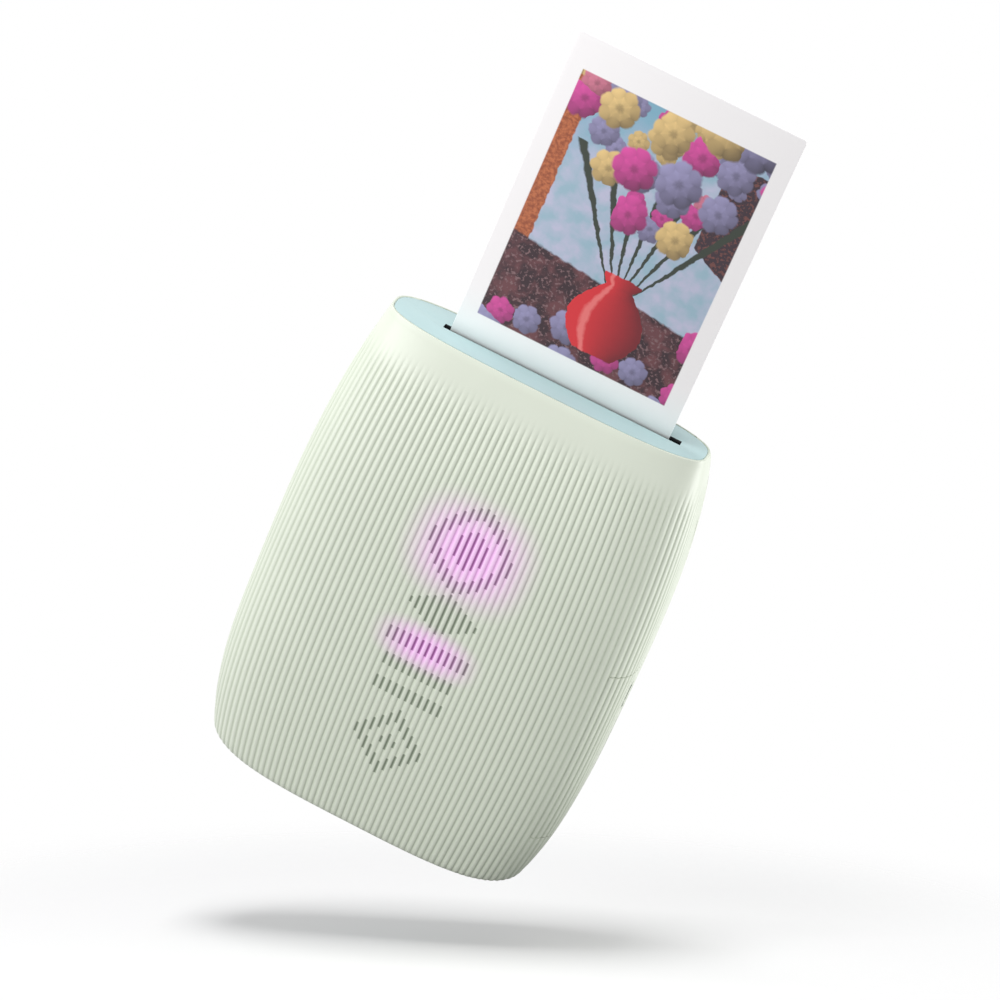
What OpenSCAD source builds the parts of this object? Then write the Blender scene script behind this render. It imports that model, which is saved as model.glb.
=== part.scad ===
// Pocket photo printer: barrel-shaped casing with a sheet standing in its exit slot,
// a film door hinged at the foot of the back, and the film drive inside.
// Origin at the centre of the flat base, +Z up along the casing, front towards -Y.

/* [Casing] */
// Width across the widest part of the barrel
body_w = 90.3; // [89:0.1:96]
// Depth through the deepest part of the barrel
body_d = 37.3; // [37:0.1:42]
// Height of the casing, base to exit end
body_h = 125; // [124:0.5:132]
// Width of the casing at the exit end
top_w = 77.7; // [76:0.1:84]
// Depth of the casing at the exit end
top_d = 17.4; // [17:0.1:21]
// Width the barrel would reach at the base without its rounded corners
foot_w = 77.7; // [75:0.1:84]
// Depth the barrel would reach at the base without its rounded edge
foot_d = 23; // [22:0.1:28]
// Distance from the origin to the foremost part of the front
front_reach = 16.9; // [16.4:0.1:19]
// Distance from the origin to the front edge of the exit end
top_reach = 11.9; // [11.4:0.1:14]
// Height of the widest part above the base
widest_z = 50; // [45:1:60]
// Height of the deepest part above the base
deepest_z = 60; // [55:1:65]
// How square the casing's section is: 2 is an ellipse
section_power = 3.9; // [3.6:0.1:4.6]
// How square the section is at the two ends
end_power = 3.2; // [3:0.1:3.8]
// Width of each rounded bottom corner
foot_corner_w = 9; // [6:0.5:11]
// Height of each rounded bottom corner
foot_corner_h = 5; // [4:0.5:7]
// Rounding of the front and back edges of the base
foot_edge = 3; // [2:0.25:4]
// Wall thickness of the casing
wall = 1.8; // [1.5:0.1:2]
// Gap along the seams between casing pieces
seam = 0.2; // [0.15:0.05:0.3]
// Plane where the front and rear covers meet
split_y = 3; // [2:0.5:4]
// Thickness of the floor of the casing
floor_t = 3.2; // [3:0.1:4]
// Thickness of the two end plates
plate_t = 1.6; // [1.2:0.1:1.8]
// Width of the casing rim around the exit plate
top_rim = 0.6; // [0.5:0.1:1]
// Width of the casing rim around the base plate
base_rim = 2.6; // [2:0.1:4]

/* [Side panel and button] */
// Height of the top edge of the side panel
panel_top = 69; // [68:0.5:72]
// Height of the bottom edge of the side panel
panel_bottom = 20; // [19.5:0.5:24]
// How far the side panel reaches in from the casing's side
panel_reach = 4.3; // [3.6:0.1:5]
// Height of the middle of the power button
button_z = 60.5; // [59:0.5:62]
// Place of the power button between front and back
button_y = -1; // [-2:0.5:0]
// Length of the power button
button_l = 7.6; // [6:0.2:8]
// Width of the power button
button_w = 3.2; // [2.8:0.1:3.6]
// Travel of the power button
button_travel = 0.5; // [0.3:0.1:0.6]
// How far the button's face lies below the panel
button_sink = 0.3; // [0.2:0.1:0.6]
// Clearance round the power button
button_gap = 0.2; // [0.15:0.05:0.3]

/* [Film] */
// Width of a film sheet
film_w = 54; // [52:0.5:54.5]
// Length of a film sheet
film_l = 86; // [84:0.5:87]
// Thickness of a film sheet
film_t = 0.45; // [0.3:0.05:0.5]
// Length of the sheet still held below the exit end
film_held = 10; // [9.6:0.1:12]
// Lean of the film path back from the vertical, in degrees
film_lean = 2.25; // [1.8:0.05:2.6]
// Place of the film path between front and back, at the exit end
film_y = -3.5; // [-3.8:0.1:-3.2]
// Place of the film path from left to right
film_x = 2.9; // [2:0.1:3.5]
// Side play that the emerging sheet has taken up
film_play = -0.6; // [-0.8:0.1:0]
// Sheets left in the pack
sheets = 9; // [6:1:10]
// Pitch of the stacked sheets
sheet_pitch = 0.55; // [0.52:0.01:0.6]
// Room for the film between the pack's face and the stack
film_lane = 0.8; // [0.7:0.05:1]
// Width of the exit slot
slot_w = 58.4; // [57:0.2:59]
// Opening of the exit slot
slot_d = 2; // [1.6:0.1:2.4]
// Width of the film pack
pack_w = 61.4; // [61:0.1:61.8]
// Length of the film pack
pack_l = 94; // [93:0.5:94.5]
// Depth of the film pack
pack_d = 15; // [14:0.1:15.2]
// Wall of the film pack
pack_wall = 1; // [0.8:0.1:1.1]
// Depth of the pack's top below the exit end
pack_drop = 17; // [16.8:0.1:17.4]

/* [Chassis and drive] */
// Wall of the chassis
frame_wall = 1.2; // [1:0.1:1.3]
// Clearance between the pack and the chassis
pack_gap = 0.4; // [0.3:0.05:0.5]
// Inside width between the roller brackets
bracket_w = 58.6; // [58:0.1:58.8]
// Radius of the two spreading rollers
roller_r = 2.6; // [2.4:0.05:2.7]
// Depth of the rollers' nip below the exit end
nip_drop = 7.5; // [7.3:0.1:7.8]
// Clearance between each roller and the film
nip_gap = 0.08; // [0.05:0.01:0.15]
// Radius of the rollers' journals
journal_r = 1; // [0.9:0.05:1.1]
// Radial running clearance of shafts in their bushes
run_gap = 0.05; // [0.03:0.01:0.08]
// Outer radius of the journal bushes
bush_r = 1.7; // [1.6:0.05:1.8]
// Module of the gear teeth
gear_m = 0.5; // [0.46:0.01:0.5]
// Face width of the gears
gear_t = 1.8; // [1.5:0.1:1.9]
// Side clearance between the gears
gear_gap = 0.4; // [0.3:0.05:0.5]
// Backlash of each gear mesh, along the pitch circle
backlash = 0.12; // [0.1:0.01:0.16]
// Radius of the drive motor
motor_r = 4; // [3.6:0.1:4]
// Length of the drive motor
motor_l = 16.8; // [14:0.2:20]
// Radius of the motor and gear shafts
shaft_r = 0.75; // [0.7:0.01:0.8]
// Travel of the pick claw
claw_travel = 7; // [6:0.5:8]

/* [Film door] */
// Width of the film door
door_w = 71; // [70.8:0.1:73]
// Height of the film door's top edge
door_top = 109; // [108.8:0.1:110]
// Height of the hinge axis
hinge_z = 11; // [10:0.5:12]
// Depth of the hinge axis below the back of the casing
hinge_sink = 2.4; // [2.3:0.1:2.8]
// Radius of the door's hinge knuckles
knuckle_r = 2.2; // [2:0.1:2.3]
// Width of each hinge knuckle
knuckle_w = 8; // [6:0.5:10]
// Distance of each knuckle's middle from the centre
knuckle_x = 16; // [14:0.5:20]
// Radius of the hinge pins
pin_r = 1; // [0.8:0.05:1.1]
// Clearance round the knuckles
knuckle_gap = 0.45; // [0.4:0.05:0.6]
// Length of the latch's travel
latch_travel = 3; // [2:0.5:3]
// Width of the latch's thumb pad
latch_w = 12; // [10:0.5:14]
// Height of the latch's thumb pad
latch_h = 6; // [5:0.5:6.5]
// Clearance round the latch
latch_gap = 0.3; // [0.25:0.05:0.4]

/* [Electronics] */
// Thickness of the circuit boards
board_t = 1; // [0.8:0.1:1]
// Thickness of the battery
battery_t = 5; // [4.5:0.1:5.2]
// Width of the battery
battery_w = 15; // [12:0.5:16]
// Length of the battery
battery_l = 33; // [28:1:33]
// Width of the light guide behind the front
guide_w = 26; // [22:0.5:28]
// Height of the charging inlet above the base
usb_z = 28; // [26:0.5:32]
// Place of the charging inlet between front and back
usb_y = -1.5; // [-2.5:0.5:-1]
// Width of the charging inlet's mouth
usb_w = 8.94; // [8.9:0.01:9]
// Thickness of the charging inlet's mouth
usb_t = 3.16; // [3.1:0.01:3.2]

/* [Screws] */
// Radius of the casing screws
screw_r = 0.9; // [0.7:0.05:1]
// Radius of the casing screws' heads
head_r = 1.7; // [1.5:0.1:1.9]
// Outer radius of the screw bosses
boss_r = 2.6; // [2.4:0.1:2.7]
// Height of the lower casing screws
low_screw_z = 16; // [15:0.5:16.5]
// Height of the upper casing screws
high_screw_z = 86; // [80:1:88]
// Distance of the lower casing screws in from the casing's side
low_screw_in = 4.87; // [4.6:0.01:5]
// Distance of the upper casing screws in from the casing's side
high_screw_in = 5.05; // [4.7:0.01:5.4]

/* [Hidden] */
$fn = 48;
eps = 0.01;
far = 200;                       // longer than anything in the model
sides = 64;                      // points round the casing's section
outer_rings = 20;
inner_rings = 14;

// ---- casing surface: one rounded section at each height ----

function rise(z, from) = z > from ? (z - from)/(body_h - from) : (from - z)/from;
function quarter(z, h) = z < h ? 1 - sqrt(1 - pow((h - z)/h, 2)) : 0;
function half_w(z) = body_w/2 - (body_w - (z > widest_z ? top_w : foot_w))/2*pow(rise(z, widest_z), 3)
    - foot_corner_w*quarter(z, foot_corner_h);
function front_y(z) = -front_reach
    + (front_reach - (z > deepest_z ? top_reach : foot_d/2))*pow(rise(z, deepest_z), 3)
    + foot_edge*quarter(z, foot_edge);
function end_back(z) = z > deepest_z ? top_d - top_reach : foot_d/2;
function back_y(z) = end_back(z)
    + (body_d - front_reach - end_back(z))*pow(max(0, 1 - pow(rise(z, deepest_z), 3)), 2/3)
    - foot_edge*quarter(z, foot_edge);
function power_at(z) = end_power + (section_power - end_power)*(1 - pow(rise(z, deepest_z), 3));
function signed_pow(v, p) = sign(v)*pow(abs(v), p);
function section(z, inset = 0) = [for (i = [0:sides - 1])
    let (a = 360*i/sides, p = 2/power_at(z), w = half_w(z) - inset,
         mid = (back_y(z) + front_y(z))/2, d = (back_y(z) - front_y(z))/2 - inset)
    [w*signed_pow(cos(a), p), mid + d*signed_pow(sin(a), p)]];
// Depth of the casing's outside at a place across it: side is 1 for the back and -1 for the front
function skin_y(x, z, side, inset = 0) =
    let (w = half_w(z) - inset, n = power_at(z), d = (back_y(z) - front_y(z))/2 - inset)
    (back_y(z) + front_y(z))/2 + side*d*pow(max(0, 1 - pow(min(1, abs(x)/w), n)), 1/n);

// Solid between two heights, its rings closer together towards the ends
module barrel(inset, z0, z1, rings) {
    levels = [for (k = [0:rings]) z0 + (z1 - z0)*(1 - cos(180*k/rings))/2];
    points = [for (z = levels) each [for (p = section(z, inset)) [p[0], p[1], z]]];
    faces = concat([[for (i = [0:sides - 1]) i]],
        [[for (i = [sides - 1:-1:0]) rings*sides + i]],
        [for (k = [0:rings - 1], i = [0:sides - 1]) let (j = (i + 1) % sides, a = k*sides, b = a + sides)
            each [[a + i, b + i, b + j], [a + i, b + j, a + j]]]);
    polyhedron(points, faces, convexity = 4);
}

module end_outline(z, rim) { polygon(section(z, rim)); }

module casing() {
    difference() {
        barrel(0, 0, body_h, outer_rings);
        barrel(wall, floor_t, body_h - plate_t, inner_rings);
        translate([0, 0, body_h - plate_t - eps]) linear_extrude(far) end_outline(body_h, top_rim);
        translate([0, 0, plate_t - far]) linear_extrude(far) end_outline(0, base_rim);
    }
}

// ---- the film path leans back: its frame has its origin where it leaves the slot ----

module path_frame() { translate([film_x, film_y, body_h]) rotate([-film_lean, 0, 0]) children(); }
module block(x0, x1, y0, y1, z0, z1) { translate([x0, y0, z0]) cube([x1 - x0, y1 - y0, z1 - z0]); }
module rod(r, x0, x1) { translate([x0, 0, 0]) rotate([0, 90, 0]) cylinder(r = r, h = x1 - x0); }
module stadium(l, w) {
    square([w, l - w], center = true);
    for (s = [-1, 1]) translate([0, s*(l - w)/2]) circle(d = w);
}
// Upright stadium, its faces across X
module upright(l, w, x0, x1) { translate([x0, 0, 0]) rotate([90, 0, 90]) linear_extrude(x1 - x0) stadium(l, w); }

// ---- film pack and chassis sizes, in the path's frame ----

lane_front = -film_lane/2 + 0.1;
pack_front = lane_front - pack_wall;
pack_back = pack_front + pack_d;
pack_bottom = -pack_drop - pack_l;
stack_front = lane_front + film_lane;
film_top = -pack_drop - pack_wall - 0.6;
film_travel = film_l - film_held - film_top;
chamber_x = pack_w/2 + pack_gap;
chamber_front = pack_front - pack_gap;
chamber_back = pack_back + 0.5;
chamber_bottom = pack_bottom - pack_gap;
bracket_x = bracket_w/2;
shelf_z = -pack_drop + pack_gap;
nip_y = roller_r + film_t/2 + nip_gap;
bracket_top = -nip_drop + bush_r + 0.6;
wall_front = chamber_front - frame_wall;         // front face of the chassis
board_y = wall_front - 0.4;                      // back of the boards on the chassis

// ---- gear train: roller gear, idler, reduction gear and motor pinion ----

roller_teeth = 16;
idler_teeth = 24;
small_teeth = 12;
large_teeth = 24;
pinion_teeth = 12;
pressure_angle = 25;
addendum = 0.8*gear_m;
dedendum = 1.05*gear_m;
function pitch_r(n) = gear_m*n/2;
function meet(a, ra, b, rb) = let (d = norm(b - a), u = (b - a)/d, k = (ra*ra - rb*rb + d*d)/(2*d),
    h = sqrt(max(0, ra*ra - k*k))) a + k*u + h*[u[1], -u[0]];
function bearing(a, b) = atan2(b[1] - a[1], b[0] - a[0]);
// Turn of a gear that puts its gap opposite the tooth phase of the gear it meshes with
function mesh_turn(turn, n, dir, other) = dir + 180 - (0.5 - (dir - turn)*n/360)*360/other;
roller_at = [nip_y, -nip_drop];
idler_at = [0, -nip_drop - sqrt(pow(pitch_r(roller_teeth) + pitch_r(idler_teeth), 2) - pow(nip_y, 2))];
motor_at = [9, -11.2];
reduction_at = meet(idler_at, pitch_r(idler_teeth) + pitch_r(small_teeth), motor_at,
    pitch_r(large_teeth) + pitch_r(pinion_teeth));
idler_turn = mesh_turn(0, roller_teeth, bearing(roller_at, idler_at), idler_teeth);
small_turn = mesh_turn(idler_turn, idler_teeth, bearing(idler_at, reduction_at), small_teeth);
pinion_turn = mesh_turn(0, large_teeth, bearing(reduction_at, motor_at), pinion_teeth);
near_x = -chamber_x - frame_wall - gear_gap;     // inner row of gears, from here outwards
far_x = near_x - gear_t - gear_gap;              // outer row
plate_x = far_x - gear_t - gear_gap;             // inner face of the gear plate
gear_plate_t = 0.8;

function involute(r, base) = let (a = acos(min(1, base/r))) tan(a)*180/PI - a;
flank_steps = 4;
function polar(r, a) = [r*cos(a), r*sin(a)];
module gear_outline(n) {
    rp = pitch_r(n);
    base = rp*cos(pressure_angle);
    root = rp - dedendum;
    start = max(base, root);
    half = 90/n - backlash/rp*45/PI + involute(rp, base);
    flank = [for (k = [0:flank_steps]) let (r = start + (rp + addendum - start)*k/flank_steps)
        [r, half - involute(r, base)]];
    rising = concat([[root, half]], flank);
    last = len(rising) - 1;
    polygon([for (t = [0:n - 1]) each concat(
        [for (k = [0:last]) polar(rising[k][0], 360*t/n - rising[k][1])],
        [for (k = [last:-1:0]) polar(rising[k][0], 360*t/n + rising[k][1])])]);
}
// Gear about an axis along X, from x0 away from the chassis, at a place in the path's frame
module gear(n, at, turn, x0, bore) {
    translate([x0 - gear_t, at[0], at[1]]) rotate([90, 0, 90]) rotate(turn)
        linear_extrude(gear_t) difference() { gear_outline(n); circle(r = bore); }
}

// ---- casing ----

hinge_y = skin_y(0, hinge_z, 1) - hinge_sink;
bevel_sum = 6.6;                 // outward plus upward offset of the door's bottom bevel from the axis
function bevel_z(y, gap) = hinge_z + bevel_sum - (y - hinge_y) + gap*1.5;

// Everything behind the door's outline; gap shrinks it on every side
module door_region(gap) {
    x = door_w/2 - gap;
    translate([-x, 0, 0]) rotate([90, 0, 90]) linear_extrude(2*x)
        polygon([[split_y + 4, bevel_z(split_y + 4, gap)], [far, bevel_z(far, gap)],
            [far, door_top - gap], [split_y + 4, door_top - gap]]);
}

module panel_region(gap) {
    levels = [panel_bottom + gap, 28, 36, 44, 52, 60, panel_top - gap];
    edge = [for (z = levels) [half_w(z) - panel_reach + gap, z]];
    translate([0, split_y - gap, 0]) rotate([90, 0, 0]) linear_extrude(far)
        polygon(concat(edge, [[far, panel_top - gap], [far, panel_bottom + gap]]));
}

screw_places = [for (s = [-1, 1]) each [[s*(half_w(low_screw_z) - low_screw_in), low_screw_z],
    [s*(half_w(high_screw_z) - high_screw_in), high_screw_z]]];
head_t = 1.2;
screw_bite = 7;                  // length of thread in the front bosses
ear_front = split_y - seam/2 - frame_wall;       // chassis ears lie against the front bosses
// How far a boss reaches towards the front or back without breaking through the casing's skin
function boss_reach(p, side) = side*min([for (dz = [-boss_r, boss_r])
    side*skin_y(abs(p[0]) + boss_r, p[1] + dz, side)]) - side*0.3;
function seat_y(p) = boss_reach(p, 1) - 0.2;     // underside of a casing screw's head
// Cylinder along Y
module post(p, r, y0, y1) { translate([p[0], y1, p[1]]) rotate([90, 0, 0]) cylinder(r = r, h = y1 - y0); }

usb_wall = 0.35;
usb_depth = 7.3;
usb_sink = 0.4;
usb_board_l = 18;
usb_x = -(half_w(usb_z) - usb_sink);             // mouth of the charging inlet
module usb_place() { translate([0, usb_y, usb_z]) children(); }

prop_places = [[-24.5, 101.8], [27, 101.8], [-27.5, 30], [24.5, 30]];
prop_r = 2;
module front_cover() color("#d5dccb") {
    difference() {
        intersection() {
            casing();
            block(-far, far, -far, split_y - seam/2, -1, far);
        }
        panel_region(0);
        path_frame() chamber_hull(0.15, chamber_back);
        usb_place() upright(usb_w + 0.6, usb_t + 0.6, -far/2, usb_x + usb_depth);
    }
    for (p = screw_places) front_boss(p);
    for (p = prop_places) prop(p);
}
module front_boss(p) {
    difference() {
        post(p, boss_r, boss_reach(p, -1), ear_front - 0.05);
        post(p, screw_r, ear_front - screw_bite, ear_front);
    }
}
// Post that the chassis rests on
module prop(p) {
    difference() {
        post(p, prop_r, skin_y(p[0], p[1], -1) + wall/2, 0);
        path_frame() block(-far, far, wall_front - 0.05, far, -far, far);
    }
}

module rear_cover() color("#d0d8c6") {
    difference() {
        union() {
            intersection() {
                casing();
                block(-far, far, split_y + seam/2, far, -1, far);
            }
            for (p = screw_places) post(p, boss_r, split_y + seam/2, boss_reach(p, 1));
        }
        hinge_pins();
        door_region(0);
        for (s = [-1, 1]) knuckle_room(s);
        for (p = screw_places) {
            post(p, screw_r + 0.15, split_y, far/2);
            post(p, head_r + 0.2, seat_y(p), far/2);
        }
    }
    difference() {
        for (s = [-1, 1], e = [-1, 1]) hinge_ear(s, e);
        hinge_pins();
    }
}
ear_t = 2.4;
module knuckle_room(s) {
    block(s*knuckle_x - knuckle_w/2 - knuckle_gap, s*knuckle_x + knuckle_w/2 + knuckle_gap,
        hinge_y - knuckle_r - knuckle_gap, far, hinge_z - knuckle_r - knuckle_gap, hinge_z + bevel_sum);
}
module hinge_ear(s, e) {
    x = s*knuckle_x + e*(knuckle_w/2 + knuckle_gap + ear_t/2);
    rim = [for (z = [floor_t + 1:1.2:hinge_z + pin_r + 0.9]) [skin_y(x, z, 1) - wall/2, z]];
    top = rim[len(rim) - 1];
    translate([x - ear_t/2, 0, 0]) rotate([90, 0, 90]) linear_extrude(ear_t)
        polygon(concat([[hinge_y - knuckle_r, rim[0][1]]], rim, [[hinge_y - knuckle_r, top[1]]]));
}
module hinge_pins() color("silver") {
    reach = knuckle_w/2 + knuckle_gap + ear_t;
    for (s = [-1, 1]) translate([0, hinge_y, hinge_z]) rod(pin_r, s*knuckle_x - reach, s*knuckle_x + reach);
}

module side_panel() color("#d5dccb") {
    difference() {
        intersection() {
            casing();
            panel_region(seam);
            block(-far, far, -far, split_y - seam, 0, far);
        }
        button_place() upright(button_l + 2*button_gap, button_w + 2*button_gap, 0, far);
    }
}

module exit_plate() color("#bfe0e2") {
    difference() {
        translate([0, 0, body_h - plate_t]) linear_extrude(plate_t) end_outline(body_h, top_rim + 0.1);
        path_frame() block(-slot_w/2, slot_w/2, -slot_d/2, slot_d/2, -9, 9);
    }
}
module base_plate() color("#bfe0e2")
    linear_extrude(plate_t) end_outline(0, base_rim + 0.1);

// ---- chassis: the film chamber with the roller brackets above it, on the path's frame ----

function to_path(y, z) = let (dy = y - film_y, dz = z - body_h)
    [dy*cos(film_lean) - dz*sin(film_lean), dy*sin(film_lean) + dz*cos(film_lean)];
gear_post_at = [[chamber_front + 0.5, idler_at[1] - 10.4], [pack_back - 1.7, idler_at[1] - 14]];
frame_screw_r = 0.6;
board_screw_r = 0.55;
claw_x = -chamber_x + 9;
claw_w = 6;
claw_l = 20;
hook_w = 3;
hook_h = 2.2;
hook_low = film_top - film_l - 0.4 - hook_h;     // underside of the claw's hook at rest
main_x = [9.5, 31.2];
main_z = [-83, -26];
board_screw_at = [for (x = main_x, z = main_z) [x + (x > main_x[0] ? -2 : 2), z + (z > main_z[0] ? -2 : 2)]];
led_x = [-15.5, 7.5];
led_z = [-100, -28];

button_face = half_w(button_z) - button_sink;
flange_out = half_w(button_z) - wall - 0.3;
flange_t = 0.8;
button_back = flange_out - flange_t - 0.7;
switch_tip = button_back - button_travel - 0.15;
switch_h = 1.5;
switch_face = switch_tip - 0.6 - switch_h;       // the face of the switch's board
switch_board = [[-6.5, 4.5], [54, 67]];
switch_post_at = [to_path(button_y - 3.5, button_z + 4.5), to_path(button_y + 3.5, button_z - 4.5)];
chamber_side = chamber_x + frame_wall;

// Outline of the chamber with its two front edges bevelled
module chamber_hull(gap, back) {
    x = chamber_side + gap;
    y = wall_front - gap;
    translate([0, 0, chamber_bottom - frame_wall - gap])
        linear_extrude(shelf_z + 2*frame_wall - chamber_bottom + 2*gap)
            polygon([[-x, y + frame_wall], [-x + frame_wall, y], [x - frame_wall, y], [x, y + frame_wall],
                [x, back], [-x, back]]);
}
module claw_slot(gap) {
    block(claw_x - hook_w/2 - gap, claw_x + hook_w/2 + gap, -far/4, lane_front + eps,
        hook_low - gap, hook_low + hook_h + claw_travel + gap);
}
module chassis() color("#3a3c3e") {
    path_frame() difference() {
        union() {
            chamber_hull(0, chamber_back);
            for (s = [-1, 1]) bracket(s);
            for (p = board_screw_at) post(p, 1.5, board_y, wall_front + eps);
            for (p = switch_post_at) translate([0, p[0], p[1]])
                rod(1.2, chamber_side - eps, switch_face - board_t - film_x);
            for (p = gear_post_at) translate([0, p[0], p[1]]) rod(1.4, plate_x, -chamber_side + eps);
            for (s = [-1, 1]) claw_rail(s);
        }
        block(-chamber_x, chamber_x, chamber_front, far, chamber_bottom, shelf_z);
        block(-bracket_x, bracket_x, chamber_front, stack_front + 1, shelf_z - eps, 0);
        block(-bracket_x, bracket_x, -far, chamber_front + eps, -pack_drop - 4, 0);
        claw_slot(0.4);
        for (s = [-1, 1], side = [-1, 1]) translate([0, side*nip_y, -nip_drop])
            rod(bush_r, s*bracket_x - 2*frame_wall, s*bracket_x + 2*frame_wall);
        translate([0, motor_at[0], motor_at[1]]) rod(shaft_r + 0.6, -chamber_side - 1, -bracket_x + 1);
        for (a = [idler_at, reduction_at]) translate([0, a[0], a[1]])
            rod(shaft_r, -chamber_side - 1, -chamber_x + 1);
        for (p = board_screw_at) post(p, board_screw_r, board_y - 1, wall_front + 1);
        for (p = gear_post_at) translate([0, p[0], p[1]]) rod(frame_screw_r, plate_x - 1, -chamber_side);
    }
    for (p = screw_places) chassis_ear(p);
}
// Side plate with the rollers' bushes, deeper on the left, where the motor is fixed to it
module bracket(s) {
    x0 = s > 0 ? bracket_x : -bracket_x - frame_wall;
    back = s < 0 ? motor_at[0] + motor_r - 0.4 : nip_y + bush_r + 0.9;
    block(x0, x0 + frame_wall, -nip_y - bush_r - 0.3, nip_y + bush_r + 0.9, shelf_z, bracket_top);
    block(x0, x0 + frame_wall, -nip_y, back, shelf_z, -nip_drop - 0.6);
}
module claw_rail(s) {
    x = claw_x + s*(claw_w/2 + 0.3 + 0.6);
    block(x - 0.6, x + 0.6, wall_front - 1.6, wall_front + eps, hook_low - 1, hook_low + claw_l - 1);
}
// Ear from the chamber's side to a casing screw, clamped between the two covers' bosses
module chassis_ear(p) {
    ear_top = max(p[1], body_h + chamber_bottom) + boss_r;
    x0 = p[0] > 0 ? film_x + chamber_side - 0.6 : p[0];
    x1 = p[0] > 0 ? p[0] : film_x - chamber_side + 0.6;
    difference() {
        union() {
            block(x0, x1, ear_front, ear_front + frame_wall, p[1] - boss_r, ear_top);
            post(p, boss_r, ear_front, ear_front + frame_wall);
        }
        post(p, screw_r + 0.15, ear_front - 1, ear_front + frame_wall + 1);
    }
}

// ---- film door ----

latch_drop = 7.5;
latch_z = door_top - latch_drop; // height of the latch's middle
latch_lean = atan2(skin_y(0, latch_z - 4, 1) - skin_y(0, latch_z + 4, 1), 8);
latch_back = -wall - 0.7;        // outer face of the latch's flange, below the skin
latch_plate_t = 0.9;
tongue_w = 6;
tongue_top = (door_top - seam - latch_z)/cos(latch_lean) - 0.5;
module latch_frame() {
    translate([0, skin_y(0, latch_z, 1), latch_z]) rotate([latch_lean, 0, 0]) children();
}

module film_door() color("#d0d8c6") {
    difference() {
        union() {
            intersection() {
                casing();
                door_region(seam);
            }
            for (s = [-1, 1]) knuckle(s);
        }
        latch_frame() block(-latch_w/2 - latch_gap, latch_w/2 + latch_gap, -5, 5,
            -latch_h/2 - latch_travel - latch_gap, latch_h/2 + latch_gap);
        latch_frame() block(-tongue_w/2 - latch_gap, tongue_w/2 + latch_gap,
            latch_back - latch_plate_t - 1, latch_back + latch_gap, 0, tongue_top + 1);
        translate([0, hinge_y, hinge_z]) rod(pin_r + run_gap, -far, far);
    }
}
module knuckle(s) {
    x = s*knuckle_x - knuckle_w/2;
    translate([0, hinge_y, hinge_z]) {
        rod(knuckle_r, x, x + knuckle_w);
        block(x, x + knuckle_w, -1.2, 1.8, 0, bevel_sum + 1.9);
        block(x, x + knuckle_w, -1.2, 3, bevel_sum - 1.4, bevel_sum + 1.9);
    }
}

seal_front = chamber_back + 0.3;
seal_t = 1.2;
liner_front = seal_front + seal_t;
liner_t = 1.2;
liner_top = shelf_z - 1.6;
liner_lift = 7.4;                // keeps the liner clear of the hinge knuckles
liner_bottom = chamber_bottom + liner_lift;
latch_room = -31;                // the liner's rim runs below the latch here
module door_liner() color("#2e3032") {
    intersection() {
        barrel(wall, floor_t, body_h - plate_t, inner_rings);
        path_frame() difference() {
            union() {
                block(-chamber_side, chamber_side, liner_front, far, liner_bottom, latch_room);
                block(-chamber_side, chamber_side, liner_front, liner_front + liner_t, latch_room, liner_top);
            }
            block(-chamber_side + liner_t, chamber_side - liner_t, liner_front + liner_t, far,
                liner_bottom + liner_t, latch_room - liner_t);
        }
    }
}
module door_seal() color("#1f2021") path_frame() difference() {
    block(-chamber_side, chamber_side, seal_front, liner_front, liner_bottom, liner_top);
    block(-chamber_x, chamber_x, -far, far, liner_bottom + frame_wall, liner_top - frame_wall);
}
pad_spring_x = 12;
pad_spring_w = 10;
pad_spring_l = 30;
pad_rise = seal_t + 0.1;
pad_r = (pow(pad_spring_l/2, 2) + pad_rise*pad_rise)/2/pad_rise;
module pressure_springs() color("silver") path_frame()
    for (s = [-1, 1]) intersection() {
        block(s*pad_spring_x - pad_spring_w/2, s*pad_spring_x + pad_spring_w/2,
            liner_front - pad_rise, liner_front, pack_bottom + pack_l*0.4, pack_bottom + pack_l*0.8);
        translate([0, liner_front - pad_rise + pad_r, pack_bottom + pack_l*0.6]) difference() {
            rod(pad_r, -far, far, $fn = 360);
            rod(pad_r - 0.3, -far, far, $fn = 360);
        }
    }

module door_latch() color("#bfe0e2") latch_frame() {
    block(-latch_w/2, latch_w/2, latch_back - eps, 0.2, -latch_h/2, latch_h/2);
    for (k = [-1:1]) block(-latch_w/2 + 1, latch_w/2 - 1, 0.1, 0.6, k*1.6 - 0.3, k*1.6 + 0.3);
    block(-latch_w/2 - 1.5, latch_w/2 + 1.5, latch_back - latch_plate_t, latch_back,
        -latch_h/2 - 1, latch_h/2 + 1);
    block(-tongue_w/2, tongue_w/2, latch_back - latch_plate_t, latch_back, latch_h/2 + 1 - eps, tongue_top);
}

// ---- side button, charging inlet, battery and boards ----

module button_place() { translate([0, button_y, button_z]) children(); }
module power_button() color("#44544f") button_place() {
    upright(button_l, button_w, flange_out - flange_t/2, button_face);
    upright(button_l + 2, button_w + 1.6, flange_out - flange_t, flange_out);
    rod(1.1, button_back, flange_out - flange_t/2);
}
module button_board() color("#2c6e49")
    block(switch_face - board_t, switch_face, switch_board[0][0], switch_board[0][1],
        switch_board[1][0], switch_board[1][1]);
module button_switch() color("#1d1d1f") button_place() {
    block(switch_face, switch_face + switch_h, -2.1, 2.1, -2.1, 2.1);
    rod(0.9, switch_face + switch_h - eps, switch_tip);
}

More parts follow.
